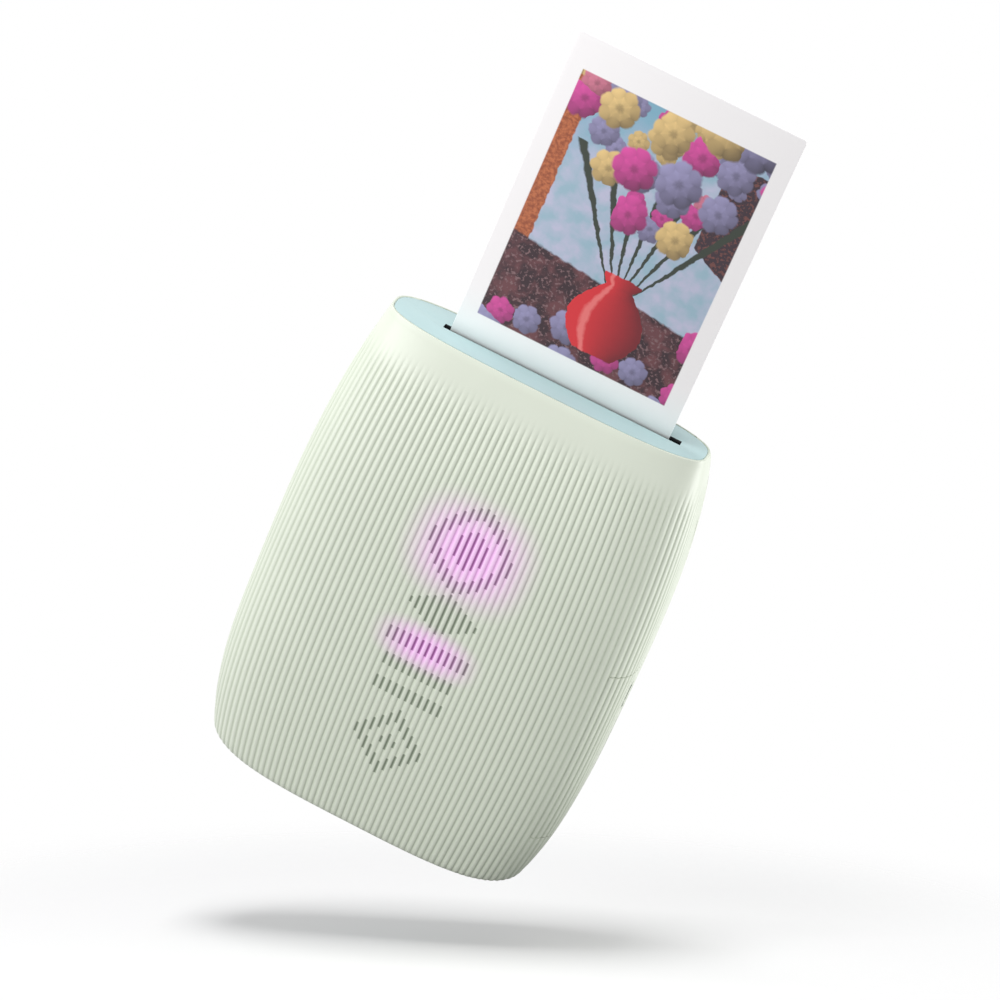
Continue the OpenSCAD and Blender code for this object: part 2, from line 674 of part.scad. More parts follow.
module usb_inlet() color("silver") usb_place() {
    difference() {
        upright(usb_w, usb_t, usb_x, usb_x + usb_depth);
        upright(usb_w - 2*usb_wall, usb_t - 2*usb_wall, usb_x - 1, usb_x + usb_depth - 1);
    }
    block(usb_x + 1, usb_x + usb_depth - 0.5, -0.35, 0.35, -3.2, 3.2);
}
module usb_board() color("#2c6e49")
    block(usb_x + 3, film_x - chamber_side - 0.3, usb_y - usb_t/2 - board_t, usb_y - usb_t/2,
        usb_z - usb_board_l/2, usb_z + usb_board_l/2);

battery_x = film_x + chamber_side + 0.3;
battery_y = 1.7;
battery_z = 20;
module battery() color("#aab4bd")
    block(battery_x, battery_x + battery_t, battery_y - battery_w/2, battery_y + battery_w/2,
        battery_z, battery_z + battery_l);

module main_board() color("#2c6e49") path_frame() difference() {
    block(main_x[0], main_x[1], board_y - board_t, board_y, main_z[0], main_z[1]);
    for (p = board_screw_at) post(p, board_screw_r + 0.15, board_y - board_t - 1, board_y + 1);
}
chip_front = board_y - board_t;
// Chips on the main board: place across, height of the middle, width, height, thickness
chips = [[20.5, -38, 13, 12, 1.3], [16, -55, 7, 7, 0.9], [25.5, -56, 5, 6, 0.9], [18, -70, 5, 5, 1.2],
    [28, -72, 4, 7, 1.1]];
flex_x = [12.8, 20.8];
plug_top = main_z[1] - 3;
module board_parts() color("#8d9296") path_frame() {
    for (c = chips) block(c[0] - c[2]/2, c[0] + c[2]/2, chip_front - c[4], chip_front,
        c[1] - c[3]/2, c[1] + c[3]/2);
    block(flex_x[0] - 0.6, flex_x[1] + 0.6, chip_front - 1.1, chip_front, plug_top - 2.4, plug_top);
}

head_front = -5.6;
head_back = pack_front - 0.15;
head_z = [-pack_drop - 3.4, -nip_drop - 3.5];
head_x = bracket_x;
head_board_x = 21;
flex_t = 0.25;
module flex_cable() color("#c9a24a") path_frame()
    translate([flex_x[0], 0, 0]) rotate([90, 0, 90]) linear_extrude(flex_x[1] - flex_x[0]) {
        y0 = head_front - board_t - flex_t;
        y1 = chip_front - 0.7;
        polygon([[y0, head_z[0] + 3], [y0 + flex_t, head_z[0] + 3], [y0 + flex_t, head_z[0] - 1],
            [y1 + flex_t, plug_top + 1.5], [y1 + flex_t, plug_top], [y1, plug_top],
            [y1, plug_top + 1.5], [y0, head_z[0] - 1]]);
    }

module led_board() color("#e8e8e4") path_frame()
    block(led_x[0], led_x[1], board_y - board_t, board_y, led_z[0], led_z[1]);
led_t = 0.7;
led_w = 1.8;
led_rows = 6;
led_x_pitch = 10;
led_margin = [8, 6];             // from the board's ends to the lowest and highest row
led_z_pitch = (led_z[1] - led_z[0] - led_margin[0] - led_margin[1])/(led_rows - 1);
module leds() color("#f4f0e0") path_frame()
    for (s = [-1, 1], k = [0:led_rows - 1])
        translate([(led_x[0] + led_x[1] + s*led_x_pitch)/2, 0, led_z[0] + led_margin[0] + k*led_z_pitch])
            block(-led_w/2, led_w/2, chip_front - led_t, chip_front, -led_w/2, led_w/2);
module light_guide() color("#f2f4ee", 0.8) intersection() {
    barrel(wall + 0.3, floor_t, body_h - plate_t, inner_rings);
    path_frame() translate([(led_x[0] + led_x[1])/2, 0, 0])
        block(-guide_w/2, guide_w/2, -far, chip_front - led_t - 0.2, led_z[0] + 2, led_z[1] - 2);
}

// ---- exposure head across the film, just before the rollers ----

lens_l = film_w - 2;
module print_head() color("#26282a") path_frame() difference() {
    block(-head_x, head_x, head_front, head_back, head_z[0], head_z[1]);
    block(-lens_l/2, lens_l/2, head_back - 1.2, head_back + 1, head_z[1] - 3.2, head_z[1] - 1.8);
}
module head_lens() color("#9fb7c4") path_frame()
    block(-lens_l/2, lens_l/2, head_back - 1.2, head_back + 0.8, head_z[1] - 3.2, head_z[1] - 1.8);
module head_board() color("#2c6e49") path_frame()
    block(-head_board_x, head_board_x, head_front - board_t, head_front, head_z[0] + 0.5, head_z[1] - 0.5);

// ---- film pack and the sheets ----

window_in = 3;                   // from the film's edge to the window it is exposed through
window_z = [film_top - 71, film_top - 6];
module film_pack() color("#2b2c2e") path_frame() difference() {
    block(-pack_w/2, pack_w/2, pack_front, pack_back, pack_bottom, -pack_drop);
    block(-pack_w/2 + pack_wall, pack_w/2 - pack_wall, lane_front, pack_back - pack_wall,
        pack_bottom + pack_wall, -pack_drop - pack_wall);
    block(-film_w/2 - 1, film_w/2 + 1, lane_front, stack_front - 0.1, -pack_drop - 2, 1);
    block(-film_w/2 + window_in, film_w/2 - window_in, -far, lane_front + eps, window_z[0], window_z[1]);
    claw_slot(0.4);
    for (s = [-1, 1]) block(s*pad_spring_x - 6, s*pad_spring_x + 6, 0, far,
        pack_bottom + pack_l*0.4, pack_bottom + pack_l*0.8);
}
stack_back = stack_front + (sheets - 1)*sheet_pitch + film_t;
module film_stack() color("#e9e7e2") path_frame()
    for (k = [0:sheets - 1])
        block(-film_w/2, film_w/2, stack_front + k*sheet_pitch, stack_front + k*sheet_pitch + film_t,
            film_top - film_l, film_top);
plate_gap = 0.1;
leaf_l = 34;
leaf_t = 0.3;
leaf_rise = pack_back - pack_wall - stack_back - 2*plate_gap - 0.5;
leaf_r = (pow(leaf_l/2, 2) + leaf_rise*leaf_rise)/2/leaf_rise;
module pack_plate() color("#8b8f93") path_frame() {
    mid_z = film_top - film_l/2;
    y0 = stack_back + plate_gap;
    block(-film_w/2 + 2, film_w/2 - 2, y0, y0 + 0.5, mid_z - film_l*0.42, mid_z + film_l*0.42);
    for (s = [-1, 1]) intersection() {
        block(s*22.5 - 2.5, s*22.5 + 2.5, y0 + 0.5 - eps, y0 + 0.5 + leaf_rise, mid_z - far, mid_z + far);
        translate([0, y0 + 0.5 + leaf_rise - leaf_r, mid_z]) difference() {
            rod(leaf_r, -far, far, $fn = 360);
            rod(leaf_r - leaf_t, -far, far, $fn = 360);
        }
    }
}
module print_sheet() color("#f4f1ef") path_frame() translate([film_play, 0, 0])
    block(-film_w/2, film_w/2, -film_t/2, film_t/2, -film_held, film_l - film_held);
module pick_claw() color("#d9d9d6") path_frame() {
    block(claw_x - claw_w/2, claw_x + claw_w/2, wall_front - 1.6, wall_front - 0.3,
        hook_low - 1, hook_low + claw_l - 5);
    block(claw_x - hook_w/2, claw_x + hook_w/2, wall_front - 0.3 - eps, film_t/2,
        hook_low, hook_low + hook_h);
}

// ---- rollers, gears and motor ----

roller_half = bracket_x - 0.4;
module roller(y, x0) {
    translate([0, y, -nip_drop]) {
        rod(roller_r, -roller_half, roller_half);
        rod(journal_r, x0, bracket_x + frame_wall + 0.6);
    }
}
module drive_roller() color("#b9bdc1") path_frame() roller(nip_y, near_x - gear_t);
module pinch_roller() color("#b9bdc1") path_frame() roller(-nip_y, -bracket_x - frame_wall - 0.6);
module roller_gear() color("#efece2") path_frame() gear(roller_teeth, roller_at, 0, near_x, journal_r);
module roller_bushes() color("#b08d4c") path_frame()
    for (s = [-1, 1], side = [-1, 1]) translate([0, side*nip_y, -nip_drop]) difference() {
        rod(bush_r, s*(bracket_x + frame_wall/2) - frame_wall/2, s*(bracket_x + frame_wall/2) + frame_wall/2);
        rod(journal_r + run_gap, -far, far);
    }
// Flat links that hold the two rollers' journals together
link_t = 0.4;
module pinch_springs() color("silver") path_frame() for (s = [-1, 1]) difference() {
    translate([s*(bracket_x + frame_wall + link_t/2) - link_t/2, 0, -nip_drop]) rotate([90, 0, 90])
        linear_extrude(link_t) rotate(90) stadium(2*nip_y + 2*bush_r, 2*bush_r);
    for (side = [-1, 1]) translate([0, side*nip_y, -nip_drop]) rod(journal_r + run_gap, -far, far);
}
module idler_gear() color("#efece2") path_frame()
    gear(idler_teeth, idler_at, idler_turn, near_x, shaft_r + run_gap);
module reduction_gear() color("#efece2") path_frame() {
    gear(small_teeth, reduction_at, small_turn, near_x, shaft_r + run_gap);
    gear(large_teeth, reduction_at, 0, far_x, shaft_r + run_gap);
    translate([0, reduction_at[0], reduction_at[1]]) difference() {
        rod(1.6, far_x, near_x - gear_t);
        rod(shaft_r + run_gap, -far, far);
    }
}
module gear_shafts() color("silver") path_frame()
    for (a = [idler_at, reduction_at]) translate([0, a[0], a[1]])
        rod(shaft_r, plate_x - gear_plate_t, -chamber_x - 0.1);
motor_x = -bracket_x + 0.4;      // front face of the motor
module motor_pinion() color("#d8b65a") path_frame() {
    gear(pinion_teeth, motor_at, pinion_turn, far_x, shaft_r - eps);
    translate([0, motor_at[0], motor_at[1]]) rod(shaft_r, far_x - gear_t, motor_x + 3);
}
module drive_motor() color("#9ea3a8") path_frame() translate([0, motor_at[0], motor_at[1]]) difference() {
    rod(motor_r, motor_x, motor_x + motor_l);
    rod(shaft_r + run_gap, motor_x - 1, motor_x + 3.4);
}
plate_y = [chamber_front - 1.2, pack_back + 0.2];
plate_z = [gear_post_at[1][1] - 2, idler_at[1] + 4];
module gear_plate() color("silver") path_frame() difference() {
    block(plate_x - gear_plate_t, plate_x, plate_y[0], plate_y[1], plate_z[0], plate_z[1]);
    for (a = [idler_at, reduction_at]) translate([0, a[0], a[1]]) rod(shaft_r, -far, far);
    for (p = gear_post_at) translate([0, p[0], p[1]]) rod(frame_screw_r + 0.1, -far, far);
}

// ---- screws ----

module case_screws() color("#5b5f63") for (p = screw_places) {
    post(p, screw_r, ear_front - screw_bite + 1, seat_y(p) + eps);
    difference() {
        post(p, head_r, seat_y(p), seat_y(p) + head_t);
        cross_recess(p, seat_y(p) + head_t);
    }
}
module cross_recess(p, y) {
    for (a = [0, 90]) translate([p[0], y, p[1]]) rotate([0, a, 0]) cube([1.8, 1.2, 0.4], center = true);
}
module frame_screws() color("#8a8e92") path_frame() for (p = gear_post_at) translate([0, p[0], p[1]]) {
    rod(frame_screw_r, plate_x - gear_plate_t - eps, plate_x + 3);
    rod(1.2, plate_x - gear_plate_t - 0.7, plate_x - gear_plate_t);
}
module board_screws() color("#8a8e92") path_frame() for (p = board_screw_at) {
    post(p, board_screw_r, board_y - board_t - eps, wall_front + 0.7);
    post(p, 1.1, board_y - board_t - 0.6, board_y - board_t);
}

front_cover();
rear_cover();
side_panel();
exit_plate();
base_plate();
chassis();
film_door();
door_liner();
door_seal();
pressure_springs();
hinge_pins();
door_latch();
power_button();
button_board();
button_switch();
usb_inlet();
usb_board();
battery();
main_board();
board_parts();
flex_cable();
led_board();
leds();
light_guide();
print_head();
head_lens();
head_board();
film_pack();
pack_plate();
film_stack();
print_sheet();
pick_claw();
drive_roller();
roller_gear();
pinch_roller();
pinch_springs();
roller_bushes();
idler_gear();
reduction_gear();
gear_shafts();
motor_pinion();
drive_motor();
gear_plate();
case_screws();
frame_screws();
board_screws();
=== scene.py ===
# Pocket photo printer, dressed over its packed construction. Blender's unit is the metre;
# a size whose name ends in _mm is turned to metres where its mesh is made.
import math
import bmesh
import bpy
import numpy as np
from mathutils import Matrix, Vector


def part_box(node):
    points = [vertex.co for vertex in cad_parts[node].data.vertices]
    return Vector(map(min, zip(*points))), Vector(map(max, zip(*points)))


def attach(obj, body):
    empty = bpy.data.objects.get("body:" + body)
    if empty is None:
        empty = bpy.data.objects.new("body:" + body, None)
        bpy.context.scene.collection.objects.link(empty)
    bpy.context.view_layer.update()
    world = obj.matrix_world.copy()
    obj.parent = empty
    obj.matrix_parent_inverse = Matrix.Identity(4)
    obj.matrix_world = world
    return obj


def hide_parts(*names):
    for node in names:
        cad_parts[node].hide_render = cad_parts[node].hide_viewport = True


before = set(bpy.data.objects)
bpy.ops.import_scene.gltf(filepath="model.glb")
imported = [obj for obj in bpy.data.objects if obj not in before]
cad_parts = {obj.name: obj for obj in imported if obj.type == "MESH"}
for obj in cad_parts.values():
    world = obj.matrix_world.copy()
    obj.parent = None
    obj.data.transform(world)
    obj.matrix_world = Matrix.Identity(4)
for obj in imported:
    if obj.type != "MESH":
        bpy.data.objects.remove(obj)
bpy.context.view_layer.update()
scene = bpy.context.scene


# ---- Camera: a long lens above the front, rolled so that the casing leans over to the right.
# The image is square, 1000 pixels across, on a 36 mm sensor.
camera_turn, camera_rise, camera_roll = (math.radians(d) for d in (5.869, 28.754, 23.888))
camera_away = 0.93187
camera_aside = 0.000667
camera_raised = 0.080572
focal_pixels = 3958.6
path_depth = 0.0035              # the film path lies this far in front of the frame's origin
look_back = Vector((math.sin(camera_turn)*math.cos(camera_rise),
                    -math.cos(camera_turn)*math.cos(camera_rise), math.sin(camera_rise)))
level_right = Vector((math.cos(camera_turn), math.sin(camera_turn), 0))
level_up = look_back.cross(level_right)
image_right = level_right*math.cos(camera_roll) + level_up*math.sin(camera_roll)
image_up = level_up*math.cos(camera_roll) - level_right*math.sin(camera_roll)
camera_data = bpy.data.cameras.new("camera")
camera_data.lens = focal_pixels/1000*36
camera_data.sensor_width = 36
camera_data.clip_start = 0.05
camera_data.clip_end = 20
camera = bpy.data.objects.new("camera", camera_data)
camera.location = (look_back*camera_away + level_right*camera_aside + level_up*camera_raised
                   - Vector((0, path_depth, 0)))
camera.rotation_mode = "QUATERNION"
camera.rotation_quaternion = Matrix([image_right, image_up, look_back]).transposed().to_quaternion()
scene.collection.objects.link(camera)
scene.camera = camera
scene.view_settings.view_transform = "Standard"


# ---- Studio: a white room with three soft boxes, one high in front of the printer and one at each
# side, and a small white sheet below its lowest corner that catches its shadow.
class Value:
    """A node's output. The usual signs make Math nodes of it, and | makes the larger of two."""
    def __init__(self, socket):
        self.socket, self.tree = socket, socket.id_data

    def calc(self, operation, *others, first=()):
        return out(self.tree, "ShaderNodeMath", *first, self, *others, operation=operation)

    def __add__(self, other):
        return self.calc("ADD", other)

    def __sub__(self, other):
        return self.calc("SUBTRACT", other)

    def __rsub__(self, other):
        return self.calc("SUBTRACT", first=(other,))

    def __mul__(self, other):
        return self.calc("MULTIPLY", other)

    def __truediv__(self, other):
        return self.calc("DIVIDE", other)

    def __abs__(self):
        return self.calc("ABSOLUTE")

    def __pow__(self, other):
        return self.calc("POWER", other)

    def __gt__(self, other):
        return self.calc("GREATER_THAN", other)

    def __lt__(self, other):
        return self.calc("LESS_THAN", other)

    def __or__(self, other):
        return self.calc("MAXIMUM", other)


def fill(socket, value):
    """Joins a node's output to an input, or sets the input to a plain value. None leaves it."""
    value = value.socket if isinstance(value, Value) else value
    if isinstance(value, bpy.types.NodeSocket):
        socket.id_data.links.new(value, socket)
    elif value is not None:
        socket.default_value = value


def add(tree, kind, *inputs, keyed=None, **settings):
    """A new node, with its inputs by place or keyed by name."""
    made = tree.nodes.new(kind)
    for name, value in settings.items():
        setattr(made, name, value)
    for place, value in [*enumerate(inputs), *(keyed or {}).items()]:
        fill(made.inputs[place], value)
    return made


def out(tree, kind, *inputs, output=0, **more):
    """One output of a new node."""
    return Value(add(tree, kind, *inputs, **more).outputs[output])


def ramp(value, low, high, at_low=0.0, at_high=1.0, kind="LINEAR"):
    """Runs from at_low to at_high while the value runs from low to high, and stays there."""
    return out(value.tree, "ShaderNodeMapRange", value, low, high, at_low, at_high, interpolation_type=kind)


def vector_math(operation, first, *others, output=0, **keyed):
    """A Vector Math node's output."""
    return out(first.tree, "ShaderNodeVectorMath", first, *others, output=output, keyed=keyed,
               operation=operation)


def object_place(tree):
    return out(tree, "ShaderNodeTexCoord", output="Object")


def empty_tree(owner):
    """The node tree of a world or a material, cleared."""
    owner.use_nodes = True
    owner.node_tree.nodes.clear()
    return owner.node_tree


scene.world = bpy.data.worlds.new("white_room")
room = empty_tree(scene.world)
ray = add(room, "ShaderNodeLightPath").outputs
seen_white = Value(ray["Is Camera Ray"]) | Value(ray["Is Glossy Ray"]) | Value(ray["Is Transmission Ray"])
room_tint, room_light = (0.985, 0.99, 1, 1), 0.435
room_fill = out(room, "ShaderNodeBackground", room_tint, room_light)
room_white = out(room, "ShaderNodeBackground", (1, 1, 1, 1), 1.0)
add(room, "ShaderNodeOutputWorld", out(room, "ShaderNodeMixShader", seen_white, room_fill, room_white))

casing_middle = Vector((0, 0, 0.07))
box_away = 1.1


def soft_box(name, aside, above, behind, size, brightness, tint):
    """Square lamp aimed at the casing; brightness is what it adds to a white card that faces it."""
    towards = (level_right*aside + level_up*above - look_back*behind).normalized()
    lamp = bpy.data.lights.new(name, "AREA")
    lamp.size = size
    lamp.color = tint
    lamp.energy = brightness*math.pi*math.pi*box_away*box_away
    box = bpy.data.objects.new(name, lamp)
    box.location = casing_middle + towards*box_away
    box.rotation_mode = "QUATERNION"
    box.rotation_quaternion = towards.to_track_quat("Z", "Y")
    scene.collection.objects.link(box)


soft_box("high_soft_box", -0.33, 0.84, -0.42, 0.36, 0.6, (1, 0.995, 1))
soft_box("left_soft_box", -0.78, -0.28, -0.55, 0.8, 0.64, (1, 0.99, 1))
soft_box("right_soft_box", 0.99, 0.1, 0.05, 0.7, 0.79, (1, 0.99, 1))

floor_drop = 0.104               # from the camera's axis down to the sheet, along the image
floor_radius = 0.19
floor_aside = -0.02              # from the camera's axis, along the image
floor_tip = math.radians(5)      # the sheet's far edge is raised a little
floor_sides = 48
floor_white_seen, floor_white_lighting, floor_glow = 0.86, 0.36, 0.12
sheet_middle = (camera.location - look_back*camera_away - image_up*floor_drop
                + image_right*floor_aside)
sheet_near = look_back*math.cos(floor_tip) - image_up*math.sin(floor_tip)
rim = [sheet_middle + (image_right*math.cos(a) + sheet_near*math.sin(a))*floor_radius
       for a in np.linspace(0, 2*math.pi, floor_sides, endpoint=False)]
floor_mesh = bpy.data.meshes.new("floor")
floor_mesh.from_pydata([tuple(p) for p in rim], [], [list(range(floor_sides))[::-1]])
floor = bpy.data.objects.new("floor", floor_mesh)
scene.collection.objects.link(floor)
white_sheet = bpy.data.materials.new("white_sheet")
card = empty_tree(white_sheet)
off_middle = vector_math("DISTANCE", object_place(card), tuple(sheet_middle), output="Value")
edge_fade = ramp(off_middle, floor_radius*0.5, floor_radius*0.95, kind="SMOOTHSTEP")
clear_share = edge_fade | out(card, "ShaderNodeNewGeometry", output="Backfacing")
seen = out(card, "ShaderNodeLightPath", output="Is Camera Ray")
matt = out(card, "ShaderNodeBsdfDiffuse", ramp(seen, 0.0, 1.0, floor_white_lighting, floor_white_seen))
glow = out(card, "ShaderNodeMixShader", seen, out(card, "ShaderNodeEmission", (0, 0, 0, 1), 0.0),
           out(card, "ShaderNodeEmission", (1, 1, 1, 1), floor_glow))
add(card, "ShaderNodeOutputMaterial", out(
    card, "ShaderNodeMixShader", clear_share, out(card, "ShaderNodeAddShader", matt, glow),
    out(card, "ShaderNodeBsdfTransparent")))
floor_mesh.materials.append(white_sheet)


# ---- Ribbed casing: front cover, side panel, rear cover and film door are one barrel form,
# moulded in pale ABS with fine upright flutes and parted along hairline seams. The covers are
# screwed together from the back, and the door swings on two pins at its foot.
casing_w_mm, casing_d_mm, casing_h_mm = 90.3, 37.3, 125.0
exit_w_mm, exit_d_mm = 77.7, 17.4
foot_w_mm, foot_d_mm = 77.7, 23.0
front_reach_mm, exit_reach_mm = 16.9, 11.9
widest_at_mm, deepest_at_mm = 50.0, 60.0
section_power, end_power = 3.9, 3.2
foot_corner_mm = (9.0, 5.0)
foot_edge_mm = 3.0
wall_mm = 1.8
exit_rim_mm, plate_mm = 0.6, 1.6
base_rim_mm = 2.6
lip_round_mm = 0.35
split_mm, seam_mm = 3.0, 0.2
flute_pitch_mm = 1.619
flute_depth_mm, flute_sharpness = 0.25, 1.9
flutes_start_mm = 3.0            # they deepen up to this height
close_up_high, close_up_low = 0.11, 0.075    # how much narrower they are at the exit end and the foot
flute_phase = 0.54               # flutes between the middle line and the groove to its left
flute_fade_mm = (111.0, 119.0)   # the flutes run out below the smooth band at the exit end
flute_steps = (0.0, 0.09, 0.22, 0.36, 0.5, 0.64, 0.78, 0.91)
seam_overrun_mm = 0.6            # each half is laid this far past the seam before it is trimmed
turn_past, turn_steps = 0.6, 2401    # a half outline's turn beyond the half circle, and its points
probe_mm = 0.02


def rise(z, start):
    return np.where(z > start, (z - start)/(casing_h_mm - start), (start - z)/start)


def rounding(z, height):
    return 1 - np.sqrt(1 - np.clip((height - z)/height, 0, 1)**2)


def casing_section(z, inset=0.0):
    """Half width, middle, half depth and squareness of the casing's outline at each height, in mm."""
    z = np.asarray(z, float)
    end_w = np.where(z > widest_at_mm, exit_w_mm, foot_w_mm)
    half_w = (casing_w_mm/2 - (casing_w_mm - end_w)/2*rise(z, widest_at_mm)**3
              - foot_corner_mm[0]*rounding(z, foot_corner_mm[1]))
    high = z > deepest_at_mm
    deep = rise(z, deepest_at_mm)**3
    edge = foot_edge_mm*rounding(z, foot_edge_mm)
    front = -front_reach_mm + (front_reach_mm - np.where(high, exit_reach_mm, foot_d_mm/2))*deep + edge
    end_back = np.where(high, exit_d_mm - exit_reach_mm, foot_d_mm/2)
    back = end_back + (casing_d_mm - front_reach_mm - end_back)*np.clip(1 - deep, 0, 1)**(2/3) - edge
    return (half_w - inset, (front + back)/2, (back - front)/2 - inset,
            end_power + (section_power - end_power)*(1 - deep))


def casing_form(points, inset=0.0):
    """Below 1 inside the casing's outline and above 1 outside it, for points in mm."""
    half_w, middle, half_d, power = casing_section(np.clip(points[:, 2], 0, casing_h_mm), inset)
    return (np.abs(points[:, 0])/half_w)**power + (np.abs(points[:, 1] - middle)/half_d)**power


def outward(points):
    """Unit normals of the casing's form at points on it, in mm."""
    slope = np.column_stack([casing_form(points + step) - casing_form(points - step)
                             for step in np.eye(3)*probe_mm])
    return slope/np.linalg.norm(slope, axis=1)[:, None]


def skin_y(x, z, side, inset=0.0):
    """Depth of the casing's outside at a place across it, in mm: side is 1 for the back, -1 for the front."""
    half_w, middle, half_d, power = (float(v) for v in casing_section(z, inset))
    return middle + side*half_d*max(0.0, 1 - (abs(x)/half_w)**power)**(1/power)


def round_outline(z, side, inset, turn):
    """Places on the outline at these turns about its middle."""
    half_w, middle, half_d, power = (float(v) for v in casing_section(z, inset))
    reach = ((np.abs(np.cos(turn))/half_w)**power + (np.abs(np.sin(turn))/half_d)**power)**(-1/power)
    return reach*np.cos(turn), middle + side*reach*np.sin(turn)


def half_outline(z, side, inset=0.0):
    """The front (side -1) or back (side 1) of the outline from left to right, and the distance along it."""
    turn = np.linspace(-turn_past, math.pi + turn_past, turn_steps)
    x, y = round_outline(z, side, inset, turn)
    x = -x
    along = np.concatenate([[0], np.cumsum(np.hypot(np.diff(x), np.diff(y)))])
    along -= np.interp(math.pi/2, turn, along)
    kept = side*(y - split_mm) > -seam_overrun_mm
    return x[kept], y[kept], along[kept]


def seam_reach(z, side, inset=0.0):
    """Distance along the outline from its middle to the seam between the covers."""
    x, y, along = half_outline(z, side, inset)
    right = along > 0
    return float(np.interp(0, side*(split_mm - y[right]), along[right]))


def front_pitch(z):
    """The front's flutes close up a little towards both ends of the casing."""
    close_up = close_up_high if z > widest_at_mm else close_up_low
    return flute_pitch_mm*(1 - close_up*float(rise(z, widest_at_mm))**2)


# A whole number of flutes goes round each side, so the back's grooves meet the front's at the seam.
way_round = (seam_reach(widest_at_mm, -1) + seam_reach(widest_at_mm, 1))/flute_pitch_mm
flutes_left = flute_phase + round(way_round - flute_phase)
flutes_right = round(way_round + flute_phase) - flute_phase


def flute_places(z, side, counts):
    """Distance from the middle along the outline, in mm, at which each flute count lies."""
    pitch = front_pitch(z)
    if side < 0:
        return (counts - flute_phase)*pitch
    on_front, on_back = seam_reach(z, -1)/pitch, seam_reach(z, 1)
    return counts*np.where(counts < 0, on_back/(flutes_left - on_front), on_back/(flutes_right - on_front))


def seam_count(z, side):
    """How many flutes lie between the middle of a side and the seam."""
    on_front = seam_reach(z, -1)/front_pitch(z)
    return on_front if side < 0 else max(flutes_left, flutes_right) - on_front


# Heights of the rows of points: close together round the foot's corner, then up to where the flutes
# begin to run out, on over their end, and at the foot and the top of the thin exit rim.
ring_heights = np.unique(np.round(np.concatenate([
    foot_corner_mm[1]*(1 - np.cos(np.linspace(0, math.pi/2, 10))),
    np.linspace(foot_corner_mm[1], flute_fade_mm[0], 34), np.linspace(112, 122, 8),
    [casing_h_mm - plate_mm - 0.15, casing_h_mm - plate_mm, casing_h_mm]]), 4))


def barrel_half(side):
    """Smooth sheet over the front or back, its columns along the flutes. Its UV map holds the flute
    count across and the height in mm, and the same count is on its points for the flutes' tree."""
    half_count = math.ceil(max(seam_count(z, side) for z in ring_heights)) + 2
    counts = np.array([n + s for n in range(-half_count, half_count) for s in flute_steps] + [half_count])
    rows = [(0.0, base_rim_mm)] + [(z, 0.0) for z in ring_heights]
    points = []
    for z, inset in rows:
        x, y, along = half_outline(z, side, inset)
        places = flute_places(z, side, counts)*(seam_reach(z, side, inset)/seam_reach(z, side))
        points.append(np.column_stack([np.interp(places, along, x), np.interp(places, along, y),
                                       np.full(len(places), z)]))
    points = np.concatenate(points)
    across = len(counts)
    corner = np.arange(len(points)).reshape(len(rows), across)
    quads = np.stack([corner[:-1, :-1], corner[:-1, 1:], corner[1:, 1:], corner[1:, :-1]], axis=-1)
    quads = quads.reshape(-1, 4) if side < 0 else quads.reshape(-1, 4)[:, ::-1]
    mesh = bpy.data.meshes.new("barrel_half")
    mesh.from_pydata((points/1000).tolist(), [], quads.tolist())
    all_counts = np.tile(counts, len(rows))
    mesh.attributes.new("flute", "FLOAT", "POINT").data.foreach_set("value", all_counts)
    flat = np.column_stack([all_counts, points[:, 2]])[quads.ravel()]
    mesh.uv_layers.new(name="flutes").uv.foreach_set("vector", flat.ravel().astype(np.float32))
    form = bmesh.new()
    form.from_mesh(mesh)
    bmesh.ops.remove_doubles(form, verts=form.verts, dist=2e-6)
    bmesh.ops.bisect_plane(form, geom=form.verts[:] + form.edges[:] + form.faces[:], dist=1e-7,
                           plane_co=(0, (split_mm + side*seam_mm/2)/1000, 0), plane_no=(0, side, 0),
                           clear_inner=True)
    form.to_mesh(mesh)
    form.free()
    return mesh


def made_from(form, name):
    """The mesh of a finished form."""
    mesh = bpy.data.meshes.new(name)
    form.to_mesh(mesh)
    form.free()
    return mesh


def new_piece(name, mesh):
    made = bpy.data.objects.new(name, mesh)
    scene.collection.objects.link(made)
    return made


def points_mm(piece):
    return np.array([v.co for v in piece.data.vertices])*1000


def baked(piece):
    """The piece's mesh with its modifiers applied, which are then removed."""
    depsgraph = bpy.context.evaluated_depsgraph_get()
    finished = bpy.data.meshes.new_from_object(piece.evaluated_get(depsgraph), depsgraph=depsgraph,
                                               preserve_all_data_layers=True)
    piece.modifiers.clear()
    piece.data = finished
    finished.name = piece.name
    return piece


def new_tree(name, **inputs):
    """Geometry tree with a mesh in, a mesh out and named inputs: what comes in, and its output."""
    tree = bpy.data.node_groups.new(name, "GeometryNodeTree")
    for way in ("INPUT", "OUTPUT"):
        tree.interface.new_socket("Mesh", in_out=way, socket_type="NodeSocketGeometry")
    kinds = {float: "Float", int: "Int", bpy.types.Material: "Material"}
    for socket, kind in inputs.items():
        tree.interface.new_socket(socket, in_out="INPUT", socket_type="NodeSocket" + kinds[kind])
    given = {socket.name: Value(socket) for socket in tree.nodes.new("NodeGroupInput").outputs}
    return tree, given, tree.nodes.new("NodeGroupOutput").inputs[0]


def grown(piece, tree, **values):
    """Runs a geometry tree on a piece with these inputs and keeps the result as a plain mesh."""
    modifier = piece.modifiers.new(tree.name, "NODES")
    modifier.node_group = tree
    for item in tree.interface.items_tree:
        if item.item_type == "SOCKET" and item.in_out == "INPUT" and item.name in values:
            modifier[item.identifier] = values[item.name]
    return baked(piece)


def named(tree, name, kind):
    return out(tree, "GeometryNodeInputNamedAttribute", name, data_type=kind, output="Attribute")


def split(whole):
    """The X, Y and Z of a vector, or the red, green and blue of a colour."""
    return [Value(part) for part in add(whole.tree, "ShaderNodeSeparateXYZ", whole).outputs]


